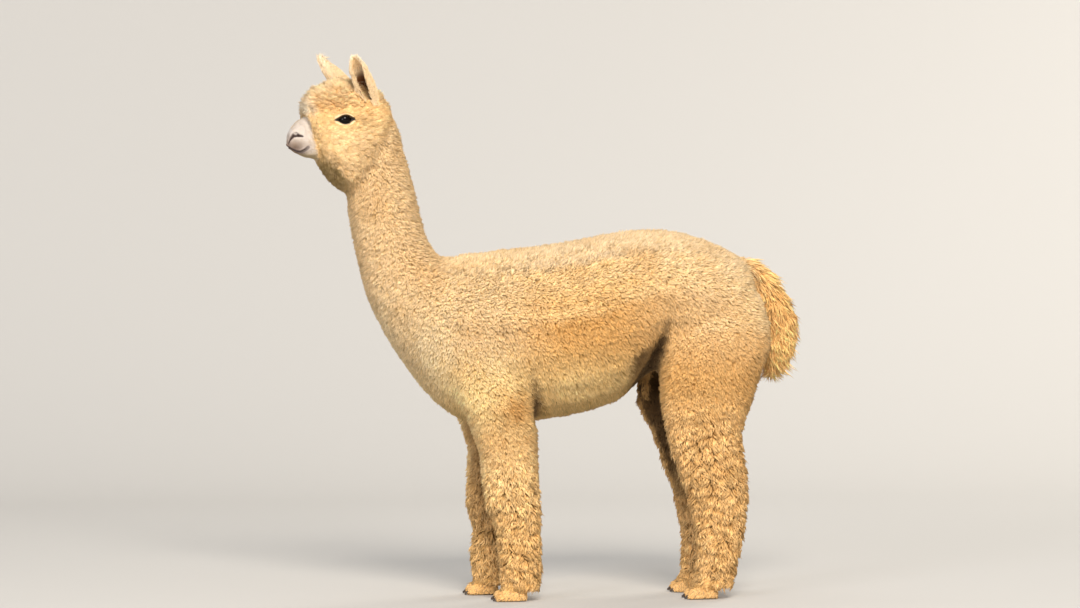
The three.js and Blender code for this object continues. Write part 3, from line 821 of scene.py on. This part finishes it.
def scatter_tree():
    """Geometry Nodes: points on a surface, none closer to another than the spacing."""
    tree = bpy.data.node_groups.new("scattered_roots", "GeometryNodeTree")
    for label, kind in (("Surface", "NodeSocketGeometry"), ("Spacing", "NodeSocketFloat"),
                        ("Seed", "NodeSocketInt")):
        tree.interface.new_socket(label, in_out="INPUT", socket_type=kind)
    tree.interface.new_socket("Roots", in_out="OUTPUT", socket_type="NodeSocketGeometry")
    given = node(tree, "NodeGroupInput")
    often = node(tree, "ShaderNodeMath", operation="POWER")
    tree.links.new(given.outputs["Spacing"], often.inputs[0])
    often.inputs[1].default_value = -2.0
    tries = node(tree, "ShaderNodeMath", operation="MULTIPLY")
    tree.links.new(often.outputs[0], tries.inputs[0])
    tries.inputs[1].default_value = TRIES
    spread_out = node(tree, "GeometryNodeDistributePointsOnFaces", {
        "Mesh": given.outputs["Surface"], "Distance Min": given.outputs["Spacing"],
        "Density Max": tries.outputs[0], "Seed": given.outputs["Seed"]}, distribute_method="POISSON")
    as_mesh = node(tree, "GeometryNodePointsToVertices", {"Points": spread_out.outputs["Points"]})
    out = node(tree, "NodeGroupOutput")
    tree.links.new(as_mesh.outputs[0], out.inputs[0])
    return tree


TRIES = 5.0  # places tried in a square of the spacing
SCATTER = scatter_tree()
CLOSEST = 0.84  # the least distance between roots, as a share of their mean spacing


def corner_shares(face, place):
    """How much each corner of its face counts at each place."""
    a, b, c = (outer[faces[face, i]] for i in range(3))
    e, f, g = b - a, c - a, place - a
    ee, ef, ff, ge, gf = ((p * q).sum(1) for p, q in ((e, e), (e, f), (f, f), (g, e), (g, f)))
    u = (ff * ge - ef * gf) / (ee * ff - ef * ef)
    v = (ee * gf - ef * ge) / (ee * ff - ef * ef)
    return np.stack([1 - u - v, u, v], 1)


def scattered(chosen, spacing, seed):
    """Even places on the chosen faces of the outline: each one's face and its corners' shares."""
    rows = np.flatnonzero(chosen)
    mesh = bpy.data.meshes.new("ground")
    mesh.from_pydata(outer.tolist(), [], faces[rows].tolist())
    mesh.attributes.new("face", "INT", "FACE").data.foreach_set("value", rows.astype(np.int32))
    holder = placed("ground", mesh)
    given = holder.modifiers.new("roots", "NODES")
    given.node_group = SCATTER
    sockets = {i.name: i.identifier for i in SCATTER.interface.items_tree if i.in_out == "INPUT"}
    given[sockets["Spacing"]] = spacing * CLOSEST
    given[sockets["Seed"]] = seed
    seen = holder.evaluated_get(bpy.context.evaluated_depsgraph_get())
    points = seen.to_mesh()
    place = np.empty(len(points.vertices) * 3)
    points.vertices.foreach_get("co", place)
    face = np.empty(len(points.vertices), np.int32)
    points.attributes["face"].data.foreach_get("value", face)
    seen.to_mesh_clear()
    bpy.data.objects.remove(holder)
    return face, corner_shares(face, place.reshape(-1, 3))


PARTINGS_APART, PARTING_WIDTH = 0.013, 0.0022


def partings(points, tilt, seed):
    """Fine wavy partings across the wool, broken here and there: 1 in the middle of one."""
    level = (points[:, 2] + tilt * points[:, 0]) / PARTINGS_APART
    level = level + 0.9 * drift(points, 0.07, seed) + 0.35 * drift(points, 0.022, seed + 1)
    off = np.abs(level - np.round(level)) * PARTINGS_APART
    return bell(off, PARTING_WIDTH) * ease(drift(points, 0.05, seed + 2), -0.2, 0.5)


class Roots:
    """Places spread evenly over chosen faces, and what is known at each of them."""

    def __init__(self, chosen, spacing, seed):
        self.random = np.random.default_rng(seed)
        self.spacing = spacing
        self.face, self.shares = scattered(chosen, spacing, seed)
        self.skin, self.outer = self.of(skin), self.of(outer)
        self.normal, self.lie = unit(self.of(outer_normal)), unit(self.of(lie))
        self.colour = self.of(fleece)

    def of(self, field):
        """A value known at the vertices, as it is at the roots."""
        shares = self.shares if field.ndim == 1 else self.shares[..., None]
        return (field[faces[self.face]] * shares).sum(1)

    def keep(self, wanted):
        """Leaves only the wanted roots."""
        for name, value in vars(self).items():
            if isinstance(value, np.ndarray):
                setattr(self, name, value[wanted])

    def __len__(self):
        return len(self.face)


def clumps(roots, size, drawn_out):
    """Gathers roots round scattered centres, each clump reaching further along than up: each
    root's clump, its middle root, the number of clumps, and how near the root is to the rim."""
    heads = max(4, int(len(roots) * min(1.0, (roots.spacing / size) ** 2)))
    chosen = roots.random.choice(len(roots), heads, replace=False)
    places = roots.outer / [drawn_out, 1, 1 / drawn_out]
    tree = KDTree(heads)
    for number, place in enumerate(places[chosen]):
        tree.insert(place, number)
    tree.balance()
    number = np.array([tree.find(p)[1] for p in places])
    out = np.linalg.norm(places - places[chosen[number]], axis=1) / size
    return number, chosen[number], heads, ease(out, 0.25, 0.75)


# How the locks of a coat are shaped and coloured:
#   rings, girth  where along the lock its sections lie, and how wide each is as a share of the width
#   clump, gather, drawn_out  the clumps' size, how far tips lean in to their middles, and how much
#     longer than high they are
#   lift, curl  how unevenly the locks stand, and how far each winds about its line
#   shade, tone, rim  painted shade at the root and painted light at the tip, how locks differ, and
#     painted shade between clumps
#   even  how much a lock is shaded as the surface that it stands on
# A lock is widest at the root, so that it meets its neighbours below their tips and no pit opens
# between them.
PLUSH = dict(rings=(0.0, 1.0), girth=(1.0,), clump=0.0075, gather=0.35, drawn_out=1.45, lift=0.07,
             curl=0.0, shade=(0.58, 1.07), tone=0.09, rim=0.14, even=0.9)
CURLY = dict(rings=(0.0, 0.5, 1.0), girth=(2.0, 1.1), clump=0.015, gather=0.35, drawn_out=1.1,
             lift=0.14, curl=0.0030, shade=(0.46, 1.14), tone=0.12, rim=0.26, even=0.5)
HAIR = dict(rings=(0.0, 0.6, 1.0), girth=(1.0, 0.8), clump=0.006, gather=0.15, drawn_out=1.0,
            lift=0.3, curl=0.0, shade=(0.8, 1.05), tone=0.05, rim=0.05, even=0.9)

SIDES = 3  # of a lock
FLATTENED = 0.9  # a lock's thickness as a share of its width
# Along a lock, the painted shade at the root gives way to painted light at the tip.
TIP_BOW = 0.8  # how soon, going up a lock, its colour gets lighter
# Light that has been deep in the wool comes back warmer: what is left of each channel there.
DEEP_IN_WOOL = np.array([1.10, 1.0, 0.78])
PATCH = 0.003  # the size of a lock's patch on the unwrap


def darkened(share):
    """What the colour is multiplied by where a share of its light is lost among the locks."""
    return 1 - share[:, None] * (2 - DEEP_IN_WOOL)


def per_lock(value, count):
    """A value for each lock, given as one for all of them or already as one for each."""
    return np.broadcast_to(np.asarray(value, float), (count,))


def above_floor(heights):
    """Heights as they are, or pressed up softly where the hair would reach the floor."""
    near = 0.004
    pressed = 0.001 + 0.003 * np.exp((np.minimum(heights, near) - near) / 0.003)
    return np.where(heights < near, pressed, heights)


def lines_of_locks(roots, style, lean, rise, middle, own, shared):
    """The middle line of every lock, from its root to its tip, as rings of points."""
    random, count = roots.random, len(roots)
    across = np.cross(roots.normal, roots.lie)
    wander = (0.30 * own[1] + 0.30 * shared[1])[:, None]
    length = per_lock(lean, count) * random.uniform(0.7, 1.3, count)
    sweep = (roots.lie + across * wander) * length[:, None]
    pull = (roots.outer[middle] - roots.outer) * per_lock(style["gather"], count)[:, None]
    t = np.array(style["rings"])[:, None, None]
    phase = random.uniform(0, 2 * math.pi, (1, count, 1))
    turn = phase + t * 2 * math.pi * random.uniform(0.7, 1.3, (1, count, 1))
    curled = (np.cos(turn) - np.cos(phase)) * across + (np.sin(turn) - np.sin(phase)) * roots.normal
    return (roots.skin + rise * (1 - (1 - t) ** 1.8) + sweep * t ** 1.4 + pull * t ** 1.6
            + curled * per_lock(style["curl"], count)[None, :, None] * t ** 0.8)


def points_of_locks(roots, style, width, line):
    """The points of every lock: three round its line at each ring but the last, and the tip."""
    random, count = roots.random, len(roots)
    across = np.cross(roots.normal, roots.lie)
    way = unit(np.concatenate([line[1:], line[-1:]]) - np.concatenate([line[:1], line[:-1]]))
    sideways = unit(np.cross(way, roots.normal + 0.3 * across))
    upright = np.cross(way, sideways)
    uneven_width = per_lock(width, count) * random.uniform(0.75, 1.25, count)
    thick = (np.array(style["girth"])[:, None] * uneven_width)[..., None]
    spin = random.uniform(0, 2 * math.pi, count)
    points = []
    for corner in range(SIDES):
        angle = (spin + corner * 2 * math.pi / SIDES)[:, None]
        round_line = np.cos(angle) * sideways[:-1] + FLATTENED * np.sin(angle) * upright[:-1]
        points.append(line[:-1] + thick * round_line)
    body = np.stack(points, 2).transpose(1, 0, 2, 3).reshape(count, -1, 3)
    places = np.concatenate([body, line[-1][:, None]], 1)
    places[..., 2] = above_floor(places[..., 2])
    return places


def triangles_of_locks(sections, count):
    """The corners of every triangle: each lock's base, its sides, and round its tip."""
    pattern = [(0, 2, 1)]
    for ring in range(sections - 1):
        for corner in range(SIDES):
            a, b = SIDES * ring + corner, SIDES * ring + (corner + 1) % SIDES
            pattern += [(a, b, b + SIDES), (a, b + SIDES, a + SIDES)]
    last = SIDES * (sections - 1)
    pattern += [(last + c, last + (c + 1) % SIDES, last + SIDES) for c in range(SIDES)]
    first_points = (SIDES * sections + 1) * np.arange(count)[:, None, None]
    return (np.array(pattern) + first_points).reshape(-1, 3)


def colours_of_locks(roots, style, heights, edge, own, shared):
    """The colour of every point: painted shade, darker and warmer deep in the wool and between the
    clumps.
    """
    low, high = style["shade"]
    up_lock = heights[:, None] ** TIP_BOW
    light = (low + (high - low) * up_lock) * (DEEP_IN_WOOL + (1 - DEEP_IN_WOOL) * up_lock)
    tone = 1 + style["tone"] * (0.8 * shared[2] + own[2])
    warm = 1 + 0.04 * own[3][:, None] * [0.4, 0.0, -1.0]
    return (roots.colour * tone[:, None] * darkened(style["rim"] * edge) * warm)[:, None] * light


def mesh_of_locks(name, places, corners):
    """The points and triangles as one mesh."""
    mesh = bpy.data.meshes.new(name)
    mesh.vertices.add(places.size // 3)
    mesh.vertices.foreach_set("co", places.ravel())
    mesh.loops.add(corners.size)
    mesh.loops.foreach_set("vertex_index", corners.ravel())
    mesh.polygons.add(len(corners))
    mesh.polygons.foreach_set("loop_start", np.arange(0, corners.size, 3))
    mesh.polygons.foreach_set("loop_total", np.full(len(corners), 3))
    smoothed(mesh)
    mesh.update(calc_edges=True)
    return mesh


def shade_as_one(mesh, surface, share):
    """Light spreads from lock to lock, so each is shaded partly as the surface it stands on."""
    facing_way = np.empty(len(mesh.vertices) * 3)
    mesh.vertices.foreach_get("normal", facing_way)
    facing_way = unit(facing_way.reshape(-1, 3) + share * surface)
    mesh.normals_split_custom_set_from_vertices(facing_way.tolist())


def unwrapped(spots, heights, corners):
    """The unwrap at every triangle's corners: each lock has a patch of its own, and the patches
    lie as the locks do."""
    least, most = spots.min(0), spots.max(0)
    spots = 4 * PATCH + (1 - 8 * PATCH) * (spots - least) / (most - least)
    sideways = np.append(np.tile((0.0, 0.5, 1.0), len(heights) // SIDES), 0.5)
    on_patch = np.stack([sideways, heights], -1) - 0.5
    return (spots[:, None] + PATCH * on_patch).reshape(-1, 2)[corners.ravel()]


def tufts(name, roots, style, unwrap, width, lean, tall=1.0):
    """One piece of coat. Widths and leans are metres, and tall a share of the coat's depth; each
    may be one value or one for each root."""
    count = len(roots)
    number, middle, heads, edge = clumps(roots, style["clump"], style["drawn_out"])
    own = roots.random.normal(size=(4, count)).clip(-2, 2)
    shared = roots.random.normal(size=(3, heads)).clip(-2, 2)[:, number]
    uneven = per_lock(style["lift"], count) * (0.6 * shared[0] + 0.7 * own[0])
    height = per_lock(tall, count) * (1 - 0.6 * style["rim"] * edge) * (1 + uneven)
    rise = (roots.outer - roots.skin) * height[:, None]
    line = lines_of_locks(roots, style, lean, rise, middle, own, shared)
    places = points_of_locks(roots, style, width, line)
    corners = triangles_of_locks(len(style["rings"]) - 1, count)
    mesh = mesh_of_locks(name, places, corners)
    shade_as_one(mesh, np.repeat(roots.normal, places.shape[1], 0), style["even"])
    heights = np.concatenate([np.repeat(style["rings"][:-1], SIDES), style["rings"][-1:]])
    painted(mesh, colours_of_locks(roots, style, heights, edge, own, shared).reshape(-1, 3))
    spots = unwrapped(unwrap(roots.outer), heights, corners)
    mesh.uv_layers.new(name="OFBake").data.foreach_set("uv", spots.ravel())
    mesh.materials.append(wool)
    coat = placed(name, mesh)
    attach(coat, "root")


# Clean crimped wool: dull, with a warm bloom at the edges from its loose fibres. Its crimps are
# 1.5 mm apart, coarser than real ones, so that they show.
CRIMPS = 650.0  # to a metre
wool = tinted_material(
    "alpaca_wool", CRIMPS, detail=2.0, strength=0.5, depth=0.0012, Roughness=0.9,
    Sheen_Weight=0.3, Sheen_Roughness=0.5, Sheen_Tint=opaque("#F2C98C"), Specular_IOR_Level=0.2)


def round_axis(start, end, front):
    """The unwrap of what lies round a line: along it, and round it from the given front."""
    start, end = np.array(start, float), np.array(end, float)
    way = unit(end - start)
    front = unit(np.array(front, float) - np.dot(front, way) * way)
    other = np.cross(way, front)

    def place(points):
        away = points - start
        return np.stack([away @ way, np.arctan2(away @ other, away @ front)], 1)
    return place


FLANK_WAY = {"left": (0, -1, 0), "right": (0, 1, 0)}
on_left = face_middle[:, 1] < 0
in_front = face_middle[:, 0] < 0.09
for number, (half, end, chosen) in enumerate((
        ("left", "front", on_left & in_front), ("left", "rear", on_left & ~in_front),
        ("right", "front", ~on_left & in_front), ("right", "rear", ~on_left & ~in_front))):
    roots = Roots(of_nodes("trunk") & chosen, spacing=0.0030, seed=100 + number)
    part = partings(roots.outer, tilt=0.4, seed=41)
    # painted shade in the partings
    roots.colour *= darkened(0.24 * part)
    tufts(f"fleece_trunk_{half}_{end}", roots, PLUSH,
          round_axis((0, 0, 0.78), (1, 0, 0.78), FLANK_WAY[half]),
          width=0.0064, lean=0.012, tall=1 - 0.14 * part)

# ---- Fleece of the neck ----
# The same plush in finer locks, standing straight out all round and parted across in fine level
# cracks where the neck bends.

for number, (half, chosen) in enumerate((("left", on_left), ("right", ~on_left))):
    roots = Roots(of_nodes("neck") & chosen, spacing=0.0026, seed=200 + number)
    part = partings(roots.outer, tilt=0.25, seed=51)
    # painted shade in the partings
    roots.colour *= darkened(0.38 * part)
    tufts(f"fleece_neck_{half}", roots, PLUSH,
          round_axis((-0.25, 0, 0.75), (-0.42, 0, 1.25), FLANK_WAY[half]),
          width=0.0055, lean=0.012, tall=1 - 0.26 * part)

# ---- Wool of the legs ----
# Plush on the thigh and upper arm, like the trunk's. Below, longer and curlier locks hang in clumps
# over the shank, down to the toes. The two run into each other at a ragged line.

SHAGGY_BELOW = {"fore": 0.38, "hind": 0.50}
LEG_WOOL_FROM = 0.030  # above the floor


def plushness(roots, low, high):
    """How far each root is past the ragged line, from 0 in the curls to 1 in the plush."""
    return ease(roots.outer[:, 2] + 0.02 * drift(roots.outer, 0.08, 31), low, high)


height = face_middle[:, 2]
for number, leg in enumerate(("left_fore", "right_fore", "left_hind", "right_hind")):
    mine = of_nodes(leg + "_upper_leg", leg + "_lower_leg", leg + "_foot") & (height > LEG_WOOL_FROM)
    shaggy_from = SHAGGY_BELOW[leg.split("_")[1]]
    centre = face_middle[mine].mean(0)
    around = round_axis((centre[0], centre[1], 0), (centre[0], centre[1], 1), (-1, 0, 0))
    roots = Roots(mine & (height > shaggy_from - 0.07), spacing=0.0030, seed=300 + number)
    plush = plushness(roots, shaggy_from - 0.07, shaggy_from + 0.05)
    roots.keep(roots.random.uniform(size=len(roots)) < plush ** 0.6)
    tufts(f"fleece_{leg}_thigh", roots, PLUSH, around, width=0.0064, lean=0.012)
    roots = Roots(mine & (height < shaggy_from + 0.05), spacing=0.0036, seed=310 + number)
    plush = plushness(roots, shaggy_from - 0.05, shaggy_from + 0.06)
    roots.keep(roots.random.uniform(size=len(roots)) > plush)
    low = fade(roots.outer[:, 2], shaggy_from - 0.16, shaggy_from)
    style = dict(CURLY, gather=0.30 + 0.28 * low, lift=0.05 + 0.07 * low, curl=0.0008 + 0.0030 * low)
    tufts(f"fleece_{leg}_shank", roots, style, around, width=0.0021, lean=0.012 + 0.007 * low)

# ---- Hair of the toes ----
# Short stiff hair over the toes, pointing forwards and down to the nails. It ends above the soft
# pads that the animal stands on.

toes = of_nodes("foot") & (height > 0.007) & (height < 0.055)
tufts("hair_toes", Roots(toes, spacing=0.0034, seed=350), dict(HAIR, shade=(0.7, 1.05)),
      round_axis((0.1, 0, 0), (0.1, 0, 1), (-1, 0, 0)), width=0.0018, lean=0.009, tall=1.2)

# ---- Tail ----
# A full hanging brush on a short tail: the longest locks of all, wavy, gathered at their tips and
# streaked light and dark.

BRUSH = dict(CURLY, rings=(0.0, 0.35, 0.7, 1.0), girth=(1.8, 1.3, 0.8), clump=0.012, gather=0.55,
             curl=0.0016, tone=0.16, shade=(0.42, 1.26), even=0.4)
roots = Roots(of_nodes("tail"), spacing=0.0036, seed=400)
middle = roots.outer.mean(0)
tufts("fleece_tail", roots, BRUSH,
      round_axis((middle[0], 0, middle[2]), (middle[0] + 0.3, 0, middle[2] - 1), (1, 0, 0)),
      width=0.0017, lean=0.040)

# ---- Wool of the head ----
# Plush on the crown and cheeks, standing up more loosely in the topknot over the brow. Round the
# eyes and down to the muzzle it is short and close.

deep = depth[faces].mean(1)
WOOL_FROM, THICK_FROM = 0.0012, 0.0045  # depths of coat where wool begins and where it is plush
woolly = of_nodes("head", "muzzle") & (deep > WOOL_FROM)
face_side = in_head(face_middle)[:, 1]
for number, (half, chosen) in enumerate((("left", face_side < 0), ("right", face_side >= 0))):
    around = round_axis(head_middle, head_middle - head_ahead, out_of_head(half))
    for kind, patch, spacing, width, lean in (
            ("crown", deep > THICK_FROM, 0.0015, 0.0029, 0.009),
            ("face", deep <= THICK_FROM, 0.0014, 0.0015, 0.006)):
        roots = Roots(woolly & chosen & patch, spacing=spacing, seed=500 + number)
        root_ahead, root_up = in_head(roots.outer).T[[0, 2]]
        loose = ease(root_ahead, 0.020, 0.060) * ease(root_up, 0.005, 0.025)
        style = dict(PLUSH, clump=0.009, gather=0.30 + 0.12 * loose, lift=0.09 + 0.10 * loose,
                     tone=0.10, shade=(0.66, 1.14), rim=0.24)
        tufts(f"wool_{kind}_{half}", roots, style, around, width=width * (1 - 0.25 * loose),
              lean=lean, tall=1 + 0.04 * loose)

# ---- Short hair of the muzzle ----
# Fine whitish hair, close as velvet, lying back from the nose. The skin shows through it, and it
# leaves the nostrils, the lips and the tip of the nose bare.

moist = np.maximum(np.maximum(nostril_dark, lip_dark), lash_line)[faces].max(1) > 0.15
short = of_nodes("head", "muzzle") & (deep < 0.003) & ~moist
short = short & (past_wool[faces].mean(1) > -0.015) & (ahead[faces].mean(1) < 0.128)
roots = Roots(short & (lid_gap[faces].mean(1) > 0.045), spacing=0.0020, seed=550)
back_from_edge = ease(roots.of(past_wool), 0.004, 0.018)
white_hair = skin_tint * 0.85 + linear("#C2B7AA") * 0.15
roots.colour = roots.of(np.where(bare[:, None] > 0.5, white_hair, fleece))
along_nose = round_axis(head_middle, head_middle + head_ahead, (0, 0, 1))
tufts("hair_muzzle", roots, dict(HAIR, lift=0.2, gather=0.1, shade=(0.92, 1.04), even=2.0),
      along_nose, width=0.0006 - 0.0003 * back_from_edge, lean=0.0060 - 0.0018 * back_from_edge)

# ---- Lashes ----
# Dark lashes along the edge of each upper lid, each a thin stiff hair, standing out and drooping a
# little over the eye.

lashes = of_nodes("head") & (lash_line[faces].min(1) > 0.3)
roots = Roots(lashes, spacing=0.0008, seed=560)
roots.colour[:] = linear("#1C120B")
outwards = HEAD_RIGHT * np.sign(roots.outer[:, 1:2])
roots.lie = unit(0.6 * outwards + 0.35 * HEAD_AHEAD + [0, 0, -0.75])
roots.outer = roots.skin + 0.0006 * roots.normal
tufts("lashes", roots, dict(HAIR, lift=0.1, gather=0.0, shade=(1.0, 1.0), even=0.0),
      along_nose, width=0.00026, lean=0.009)

# ---- Hair of the ears ----
# Close cream hair on the backs and thin dark hair in the hollow, all pointing to the tip, where it
# grows out into a small tuft, longer on the right ear than on the left.

TIP_TUFT = {"left": 0.3, "right": 1.0}
for number, half in enumerate(TIP_TUFT):
    roots = Roots(of_nodes(half + "_ear"), spacing=0.0022, seed=600 + number)
    middle = roots.outer.mean(0)
    end = ease(roots.of(ear_along), 0.75, 1.0) * TIP_TUFT[half]
    tufts(f"hair_{half}_ear", roots, dict(HAIR, clump=0.008, even=0.2),
          round_axis(middle, middle + (0.25, 0, 1), (0, -1, 0)),
          width=0.0009, lean=0.006 + 0.012 * end, tall=1.5)

# ---- Floor ----
# A pale sweep of matt paper, laid flat under the animal and curving up behind it, so that no line
# shows between floor and backdrop.

FLAT_FROM, FLAT_TO, BEND, TOP = -9.0, 3.5, 2.5, 9.0
HALF_WIDTH = 14
BEND_STEPS = 16


def sweep_of_paper():
    """The flat, the quarter-round bend and the upright of the paper, in one sheet."""
    profile = [(FLAT_FROM, 0.0), (FLAT_TO, 0.0)]
    for step in range(1, BEND_STEPS + 1):
        angle = step / BEND_STEPS * math.pi / 2
        profile.append((FLAT_TO + BEND * math.sin(angle), BEND * (1 - math.cos(angle))))
    profile.append((FLAT_TO + BEND, TOP))
    verts = [(px, py, pz) for py, pz in profile for px in (-HALF_WIDTH, HALF_WIDTH)]
    quads = [(2 * i, 2 * i + 1, 2 * i + 3, 2 * i + 2) for i in range(len(profile) - 1)]
    mesh = bpy.data.meshes.new("paper_sweep")
    mesh.from_pydata(verts, [], quads)
    smoothed(mesh)
    return mesh


def paper_material():
    """Matt paper without any shine. Seen from behind, the sweep gives way, so that the animal can
    be looked at from every side."""
    made, tree = material("paper")
    shader = node(tree, "ShaderNodeBsdfPrincipled", Base_Color=opaque("#C0BEBA"), Roughness=0.95,
                  Specular_IOR_Level=0.1)
    surface = node(tree, "ShaderNodeNewGeometry")
    ray = node(tree, "ShaderNodeLightPath")
    behind = node(tree, "ShaderNodeMath", operation="MULTIPLY")
    tree.links.new(surface.outputs["Backfacing"], behind.inputs[0])
    tree.links.new(ray.outputs["Is Camera Ray"], behind.inputs[1])
    clear = node(tree, "ShaderNodeBsdfTransparent")
    either = node(tree, "ShaderNodeMixShader", {"Fac": behind.outputs[0]})
    tree.links.new(shader.outputs[0], either.inputs[1])
    tree.links.new(clear.outputs[0], either.inputs[2])
    finish_surface(tree, either)
    return made


paper = placed("paper_sweep", sweep_of_paper())
paper.data.materials.append(paper_material())

# ---- Light ----
# Three large soft lamps: a warm key high over the left flank, a cooler one before the face and a
# weak one behind. A long lamp lights the paper, and a pale room fills the shadows.

AIM = Vector((-0.05, 0.0, 0.75))


def lamp(name, place, width, height, power, colour):
    """A soft box, turned to the animal's middle."""
    made = bpy.data.lights.new(name, "AREA")
    made.shape = "RECTANGLE"
    made.size, made.size_y = width, height
    made.energy = power
    made.color = tuple(linear(colour))
    thing = placed(name, made)
    thing.location = place
    thing.rotation_euler = (AIM - Vector(place)).to_track_quat("-Z", "Y").to_euler()


lamp("lamp_key", (0.1, -9.6, 6.6), width=3.9, height=3.9, power=1560, colour="#FFF6EA")
lamp("lamp_front", (-7.5, -9.0, 2.6), width=3.7, height=3.7, power=600, colour="#F8F9FF")
lamp("lamp_rear", (4.8, 4.5, 4.2), width=3.0, height=3.0, power=190, colour="#FFF9F0")
lamp("lamp_paper", (0.0, 1.8, 5.2), width=8.0, height=2.0, power=40, colour="#FFFFFF")
world = bpy.data.worlds.new("studio")
world.use_nodes = True
room = world.node_tree.nodes["Background"]
room.inputs["Color"].default_value = opaque("#F4F6FA")
room.inputs["Strength"].default_value = 0.52
bpy.context.scene.world = world
bpy.context.scene.view_settings.view_transform = "Standard"
